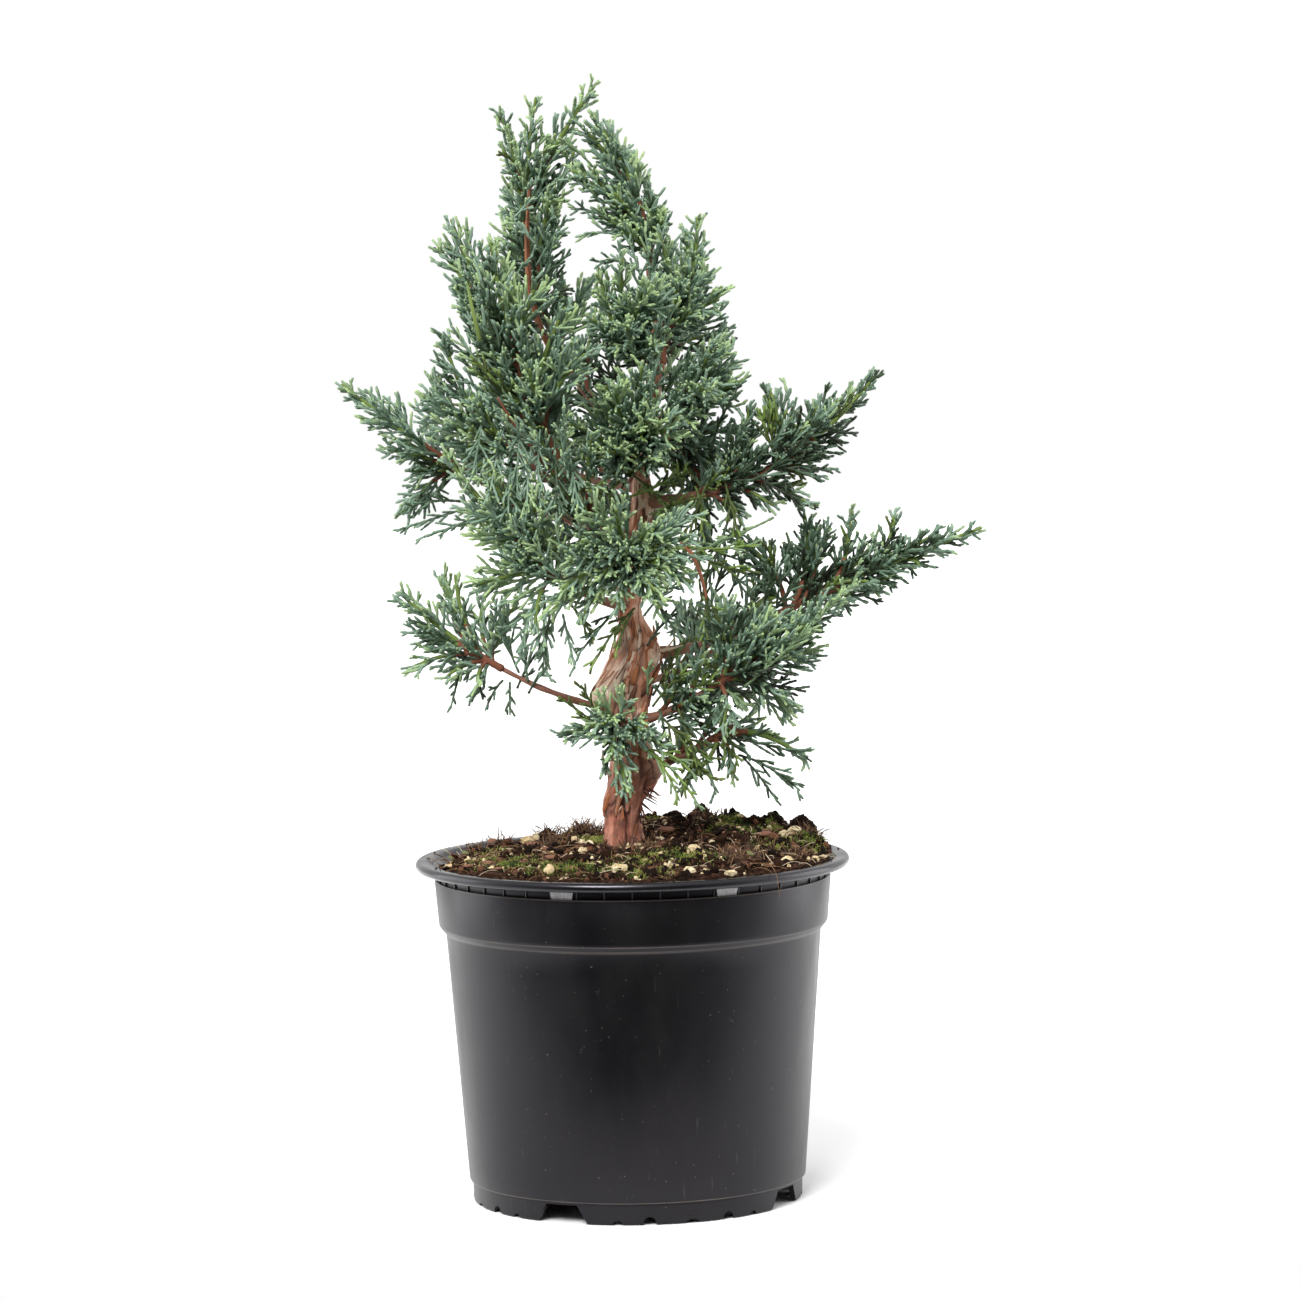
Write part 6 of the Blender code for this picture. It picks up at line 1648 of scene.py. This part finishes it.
class JUNIPER_OT_trunk(bpy.types.Operator):
    """Raise the twisted trunk with its plated, peeling bark"""

    bl_idname = "juniper.trunk"
    bl_label = "Trunk"

    def execute(self, context):
        settings, colours = context.scene.juniper_bark, context.scene.juniper_colours
        base = TRUNK_BASE - 2 * MM
        levels = round((TRUNK_TOP - base) / settings.ring_step)
        rings, grains, wear = [], [], []
        for k in range(levels + 1):
            height = base + (TRUNK_TOP - base) * k / levels
            x, y, middle = trunk_axis(height)
            damp = clamped((DAMP_TOP - height) / (18 * MM), 0, 0.75)
            ring = []
            for side in range(settings.sides):
                turn = math.tau * side / settings.sides
                grain = grain_of(turn, height)
                relief, crack = bark_relief(grain, settings)
                radius = trunk_radius(height, turn) + relief * min(1, middle / (7 * MM))
                ring.append((x + radius * math.cos(turn), y + radius * math.sin(turn), height))
                grains.append(grain)
                # painted shade: the bark darkens with the depth of the folds beside the burl and in the
                # foot
                painted_fold_shade = min(0.75, (groove_depth(height, turn) / (2.8 * MM)) ** 2)
                wear.append((max(crack, painted_fold_shade), worn_share(turn, height), damp))
            rings.append(ring)
        trunk = grained_tube("trunk_bark", rings, grains, wear)
        paint(trunk, bark_material(colours))
        settle(trunk, "bark", "trunk")
        self.flakes(settings, colours)
        stubs = [plain_tube(*(at(*point) for point in points), base * MM, end * MM)
                 for *points, base, end in STUBS]
        wood = plain("dead_wood", linear(206, 184, 158), 0.85)
        settle(tube_piece("dead_stubs", stubs, 1.2 * MM, 8, [wood], 0.06, least=6), "bark")
        self.needles()
        return {"FINISHED"}

    def flakes(self, settings, colours):
        """Flat strips that lift off at one end, most of them round the worn patches."""
        draw = random.Random("flakes")
        strips = []
        low, high = TRUNK_BASE + 3 * MM, 345 * MM
        for k in range(settings.flakes):
            if k % 3:
                middle, direction, tall, wide = draw.choice(WORN_PATCHES)
                height = (middle + draw.gauss(0, tall * 0.6)) * MM
                turn = math.radians(direction + draw.gauss(0, wide * 0.6))
            else:
                height = low + (high - low) * draw.random()
                turn = math.tau * draw.random()
            reach = draw.uniform(3.5, 11) * MM
            shift = math.tau * reach / GRAIN_LENGTH + draw.gauss(0, 0.12)
            sign = draw.choice((-1, 1))
            points = []
            for place, lift in ((0, -0.5), (0.5, 0.3), (1, draw.uniform(0.2, 1.9))):
                level = clamped(height + sign * reach * place, low - 2 * MM, high)
                around = turn + sign * shift * place
                radius = trunk_radius(level, around) + (0.35 + lift) * MM
                x, y, _ = trunk_axis(level)
                x, y = x + radius * math.cos(around), y + radius * math.sin(around)
                points.append(Vector((x, y, level)))
            wide = draw.uniform(0.5, 1.7) * MM
            slot = draw.choice((0, 0, 1)) if k % 3 else draw.choice((1, 2, 2))
            strips.append(plain_tube(*points, wide, wide * 0.45, slot, 0.22))
        tints = [peeled_material(colours), plain("bark_strip_orange", linear(168, 104, 66), 0.8),
                 plain("bark_strip_dark", linear(112, 72, 56), 0.85)]
        settle(tube_piece("bark_strips", strips, 1.5 * MM, 6, tints, least=5), "bark")

    def needles(self):
        """Dry needles on the right of the trunk: an upper tuft, and a lower one that hangs."""
        draw = random.Random("needles")
        needles = []
        for k in range(DRY_NEEDLES):
            upper = k < 10
            height = (draw.uniform(173, 181) if upper else draw.uniform(168, 174)) * MM
            turn = math.radians(draw.gauss(-24, 9))
            out = outward(turn)
            start = trunk_point(height) + out * trunk_radius(height, turn) * 0.95
            fall = draw.uniform(0.45, 0.75) if upper else draw.uniform(2.2, 4)
            way = (out + Vector((0, draw.gauss(0, 0.15), -fall))).normalized()
            tip = start + way * draw.uniform(5, 8.5) * MM
            needles.append(plain_tube(start, (start + tip) / 2 + out * 0.4 * MM, tip, 0.42 * MM,
                                      0.18 * MM, draw.choice((0, 0, 1))))
        dry = [plain("dry_needle", linear(128, 74, 50), 0.8),
               plain("dry_needle_dark", linear(84, 52, 40), 0.85)]
        settle(tube_piece("dry_needles", needles, 1.5 * MM, 4, dry, least=3), "bark")


class JUNIPER_OT_boughs(bpy.types.Operator):
    """Grow the boughs out of the trunk, with a collar at the foot of each"""

    bl_idname = "juniper.boughs"
    bl_label = "Boughs"

    def execute(self, context):
        settings, colours = context.scene.juniper_bark, context.scene.juniper_colours
        bark = bpy.data.materials.get("bark") or bark_material(colours)
        for name in BOUGHS:
            bough = self.bough(name, settings)
            paint(bough, bark)
            settle(bough, "bark", name)
        return {"FINISHED"}

    def bough(self, name, settings):
        start, lean, tip = curve = bough_curve(name)
        reach = (lean - start).length + (tip - lean).length
        levels = round(reach / settings.bough_step)
        right, _ = across(heading(curve, 0))
        rings, grains, wear = [], [], []
        for k in range(levels + 1):
            place = k / levels
            way, middle = heading(curve, place), bend(curve, place)
            right = (right - way * right.dot(way)).normalized()
            deep = way.cross(right)
            thick = bough_radius(BOUGHS[name], place)
            thick *= SLIM_SHARE if name == SLIM_BOUGH else 1
            thick *= 0.74 + 0.55 * math.exp(-((place / 0.2) ** 2))
            ring = []
            for side in range(settings.bough_sides):
                turn = math.tau * side / settings.bough_sides
                grain = Vector((math.cos(turn) * thick, math.sin(turn) * thick, place * reach))
                grain.z += len(name) * 37 * MM
                strand = stretched(grain, 520, 0.14)
                radius = thick + (0.4 * stretched(grain, 240, 0.8) + 0.34 * strand) * MM
                ring.append(
                    tuple(middle + (right * math.cos(turn) + deep * math.sin(turn)) * radius))
                grains.append(grain)
                pale = 1.4 * stretched(grain, 200, 0.3) - 0.12
                if name == PEELED_BOUGH:
                    pale += 1.4 - 1.6 * place
                wear.append((max(0, -1.6 * strand), max(0, pale), 0))
            rings.append(ring)
        return grained_tube(name + "_bark", rings, grains, wear)


# ---------------------------------------------------------------- foliage
def mass_start(limb_name):
    """Where a mass's stem starts, its heading and its radius."""
    if limb_name == "trunk tip":
        return trunk_point(TRUNK_TOP), Vector((0, 0, 1)), TRUNK_COURSE[-1][3] * MM * 0.8
    if limb_name.startswith("trunk"):
        return trunk_point(float(limb_name.split()[1]) * MM), None, 1.6 * MM
    curve = bough_curve(limb_name)
    return curve[2], heading(curve, 1), BOUGHS[limb_name].radius[1] * MM * 0.9


def plumes_of(name):
    return [Plume(place, at(x, y, z), *(reach * 3 if len(reach) == 1 else reach))
            for place, x, y, z, *reach in MASSES[name].plumes]


def plume_curves(name):
    """The axis of each plume of a mass; the first is the mass's stem."""
    limb_name = MASSES[name].limb
    start, direction, radius = mass_start(limb_name)
    curves = []
    for place, tip, *_ in plumes_of(name):
        if place < 0 or curves:
            curve, along = (bough_curve(limb_name), 1 + place) if place < 0 else (curves[0], place)
            start = bend(curve, along)
            direction = heading(curve, along) + (tip - start).normalized() * PULL_TO_TIP
        elif direction is None:
            flat = Vector((tip.x - start.x, tip.y - start.y, 0)).normalized()
            direction = flat + Vector((0, 0, 0.35))
        direction = direction.normalized()
        reach = (tip - start).length
        curves.append((start, start + direction * reach * PLUME_BEND, tip))
    return curves, radius


def limb_axis(name):
    """The outer part of a mass's bough, or the trunk's top, where twigs sit on the wood."""
    limb_name = MASSES[name].limb
    if limb_name == "trunk tip":
        return trunk_point(352 * MM), trunk_point(382 * MM), trunk_point(TRUNK_TOP)
    if limb_name.startswith("trunk") or limb_name in BARE_BOUGHS:
        return None
    curve = bough_curve(limb_name)
    return bend(curve, 0.4), bend(curve, 0.7), curve[2]


def egg(turn, right, left, deep):
    """Reach of a plume's section, which may differ to the right and the left."""
    wide = right if math.cos(turn) > 0 else left
    return MM / math.hypot(math.cos(turn) / wide, math.sin(turn) / deep)


def plume_width(place):
    """A plume is broadest near a third of its length and narrows to its tip."""
    return (0.55 + 0.45 * min(1, place / 0.25)) * (1 - 0.92 * place**1.7)


def limb_rows():
    """Samples of the trunk and the boughs: centre and radius."""
    rows = []
    for k in range(120):
        height = TRUNK_BASE + (TRUNK_TOP - TRUNK_BASE) * k / 119
        widest = max(trunk_radius(height, math.tau * side / 12) for side in range(12))
        rows.append((*trunk_point(height), widest))
    for name, limb in BOUGHS.items():
        curve = bough_curve(name)
        rows += [(*bend(curve, k / 40), bough_radius(limb, k / 40)) for k in range(41)]
    return np.array(rows)


def distance_to(points, rows):
    """Smallest distance from each point to the surfaces, or centres, of the rows."""
    result = np.empty(len(points))
    for first in range(0, len(points), 2000):
        part = points[first:first + 2000, None, :] - rows[None, :, :3]
        away = np.sqrt((part**2).sum(axis=2))
        if rows.shape[1] == 4:
            away = away - rows[None, :, 3]
        result[first:first + 2000] = away.min(axis=1)
    return result


def samples(curves, steps):
    return [tuple(bend(curve, k / steps)) for curve in curves for k in range(steps + 1)]


class Space:
    """Tells which shoots keep to their mass's own space and clear of the limbs."""

    def __init__(self):
        self.limbs = limb_rows()
        self.spines = {name: np.array(samples(plume_curves(name)[0], 20)) for name in MASSES}
        places, depth, heights = WINDOW
        shown = [[at(*point) for point in stem[:3]]
                 for stems in SHOWN_STEMS.values() for stem in stems]
        self.shown = np.array(samples(shown, 24) + [
            (x * MM, depth * MM, height * MM) for x in places for height in range(*heights)])

    def hides(self, points):
        """Which points stand in front of a stem that shows."""
        aside = points[:, None, ::2] - self.shown[None, :, ::2]
        near = np.hypot(aside[:, :, 0], aside[:, :, 1]) < CLEAR_WIDTH
        return (near & (points[:, None, 1] < self.shown[None, :, 1])).any(axis=1)

    def fits(self, name, tubes):
        """The tubes of a mass that may stay."""
        if not tubes:
            return []
        others = np.vstack([rows for other, rows in self.spines.items() if other != name])
        good = np.ones(len(tubes), bool)
        cleared = np.random.default_rng(len(tubes)).random(len(tubes)) < CLEARED_SHARE
        for place in (0.55, 0.8, 1.0):
            points = np.array([tuple(bend(tube[:3], place)) for tube in tubes])
            own = distance_to(points, self.spines[name])
            good &= own + SPACE_MARGIN < distance_to(points, others)
            good &= distance_to(points, self.limbs) > LIMB_MARGIN
            good &= ~(self.hides(points) & cleared)
        return [tube for tube, fine in zip(tubes, good) if fine]


def leaf_tint(draw, outer, high, hue):
    """Slot of a spray: painted shade deep in its plume and where it faces down, blue-green in the
    middle, and young growth with painted light at the tips and where it faces up.

    outer is how far along its plume the spray stands, high how far up it faces."""
    light = outer * 0.7 + high * 0.3 + hue + draw.gauss(0, 0.16)
    return draw.choice(next(slots for most, slots in LEAF_TINTS if light < most))


def leafy_tube(start, lean, tip, base, end, slot, split):
    """A tube of scale leaves, lighter at its tip."""
    return Tube(start, lean, tip, base, end, 1.0, slot, LIGHTER[slot], split)


def shoot_tube(root, way, towards, size, radius, slot, split):
    """A shoot that leaves its twig one way and bends towards another."""
    tip = root + towards.normalized() * size
    return leafy_tube(root, root + way * size * 0.5, tip, radius, radius * 0.95, slot, split)


class Grower:
    """Grows one mass: stems, twigs, shoots and forks, by the seeded rule."""

    def __init__(self, settings, space):
        self.settings = settings
        self.space = space

    def plume(self, name, number, curve, plume, thick):
        """The axis and the twigs of one plume."""
        settings, mass = self.settings, MASSES[name]
        start, lean, tip = curve
        stem = Tube(start, lean, tip, thick, settings.twig_radius, 1.0, 0, 2, 0.45)
        reach_all = (lean - start).length + (tip - lean).length
        total = max(4, round(reach_all / settings.twig_step))
        twigs = []
        for k in range(total):
            draw = random.Random(f"{name}/{number}/{k}")
            place = 0.08 + 0.88 * (k + 0.5 + draw.uniform(-0.25, 0.25)) / total
            turn = k * GOLDEN_ANGLE + number * 1.1 + draw.uniform(-0.35, 0.35)
            root, direction, out = sprout(curve, place, turn)
            reach = egg(turn, plume.right, plume.left, plume.deep) * plume_width(place)
            reach *= draw.uniform(0.47, 0.81) * mass.reach
            if draw.random() > mass.twigs:
                continue
            ahead = reach / math.tan(SPLAY[0] + (SPLAY[1] - SPLAY[0]) * place)
            twig_lean = root + out * reach * 0.6 + direction * ahead * 0.45
            twig_tip = root + out * reach + direction * ahead * FORWARD
            # painted light and shade: sprays that face up and stand far out get lighter slots, inner
            # ones darker
            slot = leaf_tint(draw, place, out.z * 0.5 + 0.25, mass.hue)
            twigs.append(leafy_tube(root, twig_lean, twig_tip, settings.twig_radius,
                                    settings.shoot_radius, slot, 0.8))
        return stem, twigs

    def shoots(self, label, twig):
        """Shoots on both sides of a twig, shorter towards its tip, some of them forked."""
        settings = self.settings
        draw = random.Random(label)
        reach = (twig.tip - twig.start).length
        total = max(2, round(reach * 0.86 / settings.shoot_step))
        roll = draw.uniform(0, math.tau)
        shoots, forks = [], []
        for k in range(total):
            place = 0.12 + 0.84 * (k + draw.uniform(0.2, 0.8)) / total
            turn = roll + math.pi * k + draw.gauss(0, 0.4)
            root, direction, out = sprout(twig[:3], place, turn)
            size = reach * (0.40 * (1 - place) + 0.42) * draw.uniform(0.8, 1.2)
            size = clamped(size, *SHOOT_SIZES)
            spread = settings.shoot_angle * draw.uniform(0.7, 1.15) * (1 - 0.25 * place)
            way = direction * math.cos(spread) + out * math.sin(spread)
            sway = Vector((draw.gauss(0, 0.10), draw.gauss(0, 0.10), draw.gauss(0.03, 0.10)))
            slot = twig.slot if draw.random() < 0.72 else LIGHTER[twig.slot]
            if place > 0.75 and draw.random() < 0.25:
                slot = LIGHTER[slot]
            towards = way * 0.78 + direction * 0.22 + sway
            shoot = shoot_tube(root, way, towards, size, settings.shoot_radius, slot, 0.86)
            shoots.append(shoot)
            forks += self.forks(draw, shoot, size)
        return shoots, forks

    def forks(self, draw, shoot, size):
        made = []
        side = draw.uniform(0, math.tau)
        for k in range(min(2, int(size / (4.6 * MM)))):
            if draw.random() > 0.68:
                continue
            place = draw.uniform(0.22, 0.72)
            root, direction, out = sprout(shoot[:3], place, side + math.pi * k + draw.gauss(0, 0.4))
            way = (direction * 0.8 + out * 0.6).normalized()
            reach = clamped(size * (1 - place) * draw.uniform(0.7, 1.1), *FORK_SIZES)
            slot = shoot.slot if draw.random() < 0.7 else LIGHTER[shoot.slot]
            made.append(shoot_tube(root, way, way * 0.85 + direction * 0.15, reach,
                                   self.settings.fork_radius, slot, 0.7))
        return made

    def mass(self, name):
        """Stems and leafy shoots of one mass, with the twigs straight on its limb."""
        curves, radius = plume_curves(name)
        plumes = plumes_of(name)
        limb = limb_axis(name)
        if limb:
            curves.append(limb)
            plumes.append(Plume(0, None, LIMB_REACH, LIMB_REACH, LIMB_REACH))
        stems, leafy = [], []
        for number, (curve, plume) in enumerate(zip(curves, plumes)):
            thick = radius * (1 if number == 0 else 0.7)
            stem, twigs = self.plume(name, number, curve, plume, thick)
            if curve is not limb:
                stems.append(stem)
            for twig in self.space.fits(name, twigs):
                shoots, forks = self.shoots(f"{name}/{number}/{twig.tip.x:.5f}", twig)
                leafy += [twig, *self.space.fits(name, shoots), *self.space.fits(name, forks)]
        for *points, base, end, slot in SHOWN_STEMS.get(name, ()):
            stems.append(plain_tube(*(at(*point) for point in points), base * MM, end * MM, slot))
        for number, spray in enumerate(LOOSE_SPRAYS.get(name, ())):
            leafy += self.loose(random.Random(f"{name}/loose/{number}"), *spray)
        return stems, leafy

    def loose(self, draw, *spray):
        """A thin spray with long single shoots on both sides."""
        start, lean, tip, (longest, slot) = spray[:3], spray[3:6], spray[6:9], spray[9:]
        curve = at(*start), at(*map(sum, zip(start, lean))), at(*map(sum, zip(start, tip)))
        thick = self.settings.fork_radius
        made = [leafy_tube(*curve, thick, thick * 0.95, slot, 0.85)]
        total = max(3, round((curve[2] - curve[0]).length / LOOSE_STEP))
        roll = draw.uniform(-0.5, 0.5)
        for k in range(total):
            place = 0.16 + 0.82 * (k + draw.uniform(0.2, 0.8)) / total
            root, direction, out = sprout(curve, place, roll + math.pi * k + draw.gauss(0, 0.9))
            spread = math.radians(draw.uniform(16, 46))
            way = direction * math.cos(spread) + out * math.sin(spread)
            size = longest * MM * (1.1 - 0.5 * place) * draw.uniform(0.6, 1.3)
            shade = slot if draw.random() < 0.7 else LIGHTER[slot]
            shoot = shoot_tube(root, way, way * 0.85 + direction * 0.15, size, thick, shade, 0.8)
            made.append(shoot)
            made += self.forks(draw, shoot, size)[:1]
        return made


class JUNIPER_OT_foliage(bpy.types.Operator):
    """Grow every mass of foliage from its bough: stems, twigs and scale-leaved shoots"""

    bl_idname = "juniper.foliage"
    bl_label = "Foliage"

    def execute(self, context):
        settings, colours = context.scene.juniper_foliage, context.scene.juniper_colours
        grower = Grower(settings, Space())
        leaves = plain_set(colours, LEAF_SLOTS, 0.62)
        stems = plain_set(colours, STEM_SLOTS, 0.8)
        for name in MASSES:
            axes, leafy = grower.mass(name)
            kind = name.replace("foliage_", "")
            wood = tube_piece("stems_" + kind, axes, 1.6 * MM, 7, stems, 0.05)
            settle(wood, "bark")
            spray = tube_piece("leaves_" + kind, leafy, settings.ring_step, settings.sides,
                               leaves, settings.scale_relief)
            settle(spray, "foliage", name)
        return {"FINISHED"}


# ---------------------------------------------------------------- stage
class JUNIPER_OT_stage(bpy.types.Operator):
    """Lay a pale floor and set the soft studio light and the camera"""

    bl_idname = "juniper.stage"
    bl_label = "Stage"

    def execute(self, context):
        settings = context.scene.juniper_stage
        clear_selection()
        bpy.ops.mesh.primitive_circle_add(
            vertices=96, radius=settings.floor_radius, fill_type="NGON",
            location=(0, settings.floor_radius - settings.floor_front, -0.2 * MM))
        floor = named("floor")
        paint(floor, plain("floor_white", (0.93, 0.93, 0.93), 0.75))
        context.scene.world = self.room(settings)
        self.light("SUN", "key", (0, 0, 0), (0.35, 1.0, -0.98), settings.key,
                   angle=settings.softness)
        for name, side, power in (("side_left", -1, settings.side),
                                  ("side_right", 1, settings.side * 1.25)):
            self.light("AREA", name, (side * 1.25, 0.35, 0.45), (0, 0, 0.25), power,
                       shape="SQUARE", size=0.9)
        self.light("SPOT", "trunk_glow", (-0.2, -1.1, 0.24), (-0.004, 0, 0.236), settings.glow,
                   spot_size=settings.glow_width, spot_blend=1.0, shadow_soft_size=0.05)
        self.camera(context, settings)
        context.scene.view_settings.view_transform = "Standard"
        return {"FINISHED"}

    def room(self, settings):
        """White all round to the eye; the light itself is dimmer from the front."""
        world = Nodes(bpy.data.worlds.new("surround"))
        surround = world.tree.nodes["Background"]
        surround.inputs["Strength"].default_value = settings.sky
        where = world.add("TexCoord").outputs["Generated"]
        split = world.add("SeparateXYZ")
        front = world.add("MapRange", {"From Min": -0.85, "From Max": -0.1,
                                       "To Min": settings.front_light, "To Max": 1.0})
        above = world.add("MapRange", {"From Min": 0.1, "From Max": 0.8})
        ray = world.add("LightPath")
        lit, seen = (world.add("Mix", {"B": 1.0}, data_type="FLOAT") for _ in range(2))
        world.wire(
            (where, split.inputs["Vector"]), (split.outputs["Y"], front.inputs["Value"]),
            (split.outputs["Z"], above.inputs["Value"]), (above.outputs["Result"], lit.inputs[0]),
            (front.outputs["Result"], lit.inputs[2]), (ray.outputs["Is Camera Ray"], seen.inputs[0]),
            (lit.outputs[0], seen.inputs[2]), (seen.outputs[0], surround.inputs["Color"]),
        )
        return world.owner

    def light(self, kind, name, place, aim, power, **settings):
        data = bpy.data.lights.new(name, kind)
        data.energy = power
        for key, value in settings.items():
            setattr(data, key, value)
        lamp = bpy.data.objects.new(name, data)
        bpy.context.scene.collection.objects.link(lamp)
        way = (Vector(aim) - Vector(place)).to_track_quat("-Z", "Y").to_matrix().to_4x4()
        lamp.matrix_world = Matrix.Translation(place) @ way

    def camera(self, context, settings):
        data = bpy.data.cameras.new("front_view")
        data.sensor_width = 36
        data.lens = settings.lens
        data.clip_start = 0.05
        camera = bpy.data.objects.new("front_view", data)
        context.scene.collection.objects.link(camera)
        pitch, roll = settings.camera_pitch, settings.camera_roll
        right = Vector((1, 0, 0))
        up = Vector((0, math.sin(pitch), math.cos(pitch)))
        forward = Vector((0, math.cos(pitch), -math.sin(pitch)))
        rolled = right * math.cos(roll) + up * math.sin(roll)
        upright = up * math.cos(roll) - right * math.sin(roll)
        place = Matrix((rolled, upright, -forward)).transposed().to_4x4()
        place.translation = (settings.camera_side, -settings.camera_distance, settings.camera_height)
        camera.matrix_world = place
        context.scene.camera = camera


class JUNIPER_PT_panel(bpy.types.Panel):
    """Lists the pieces of the plant in the order in which they are made"""

    bl_idname = "JUNIPER_PT_panel"
    bl_label = "Potted Juniper"
    bl_space_type = "VIEW_3D"
    bl_region_type = "UI"
    bl_category = "Juniper"

    def draw(self, context):
        for maker in MAKERS:
            self.layout.operator(maker.bl_idname)


MAKERS = (
    JUNIPER_OT_pot, JUNIPER_OT_rim_ribs, JUNIPER_OT_soil, JUNIPER_OT_grains, JUNIPER_OT_moss,
    JUNIPER_OT_fibres, JUNIPER_OT_trunk, JUNIPER_OT_boughs, JUNIPER_OT_foliage,
    JUNIPER_OT_stage,
)


def register():
    for name, group in GROUPS.items():
        bpy.utils.register_class(group)
        setattr(bpy.types.Scene, name, PointerProperty(type=group))
    for kind in (*MAKERS, JUNIPER_PT_panel):
        bpy.utils.register_class(kind)


def unregister():
    for kind in reversed((*MAKERS, JUNIPER_PT_panel)):
        bpy.utils.unregister_class(kind)
    for name, group in reversed(GROUPS.items()):
        delattr(bpy.types.Scene, name)
        bpy.utils.unregister_class(group)


def main():
    register()
    bpy.context.view_layer.update()
    for maker in MAKERS:
        piece = maker.bl_idname.split(".")[1]
        getattr(bpy.ops.juniper, piece)()


if __name__ == "__main__":
    main()
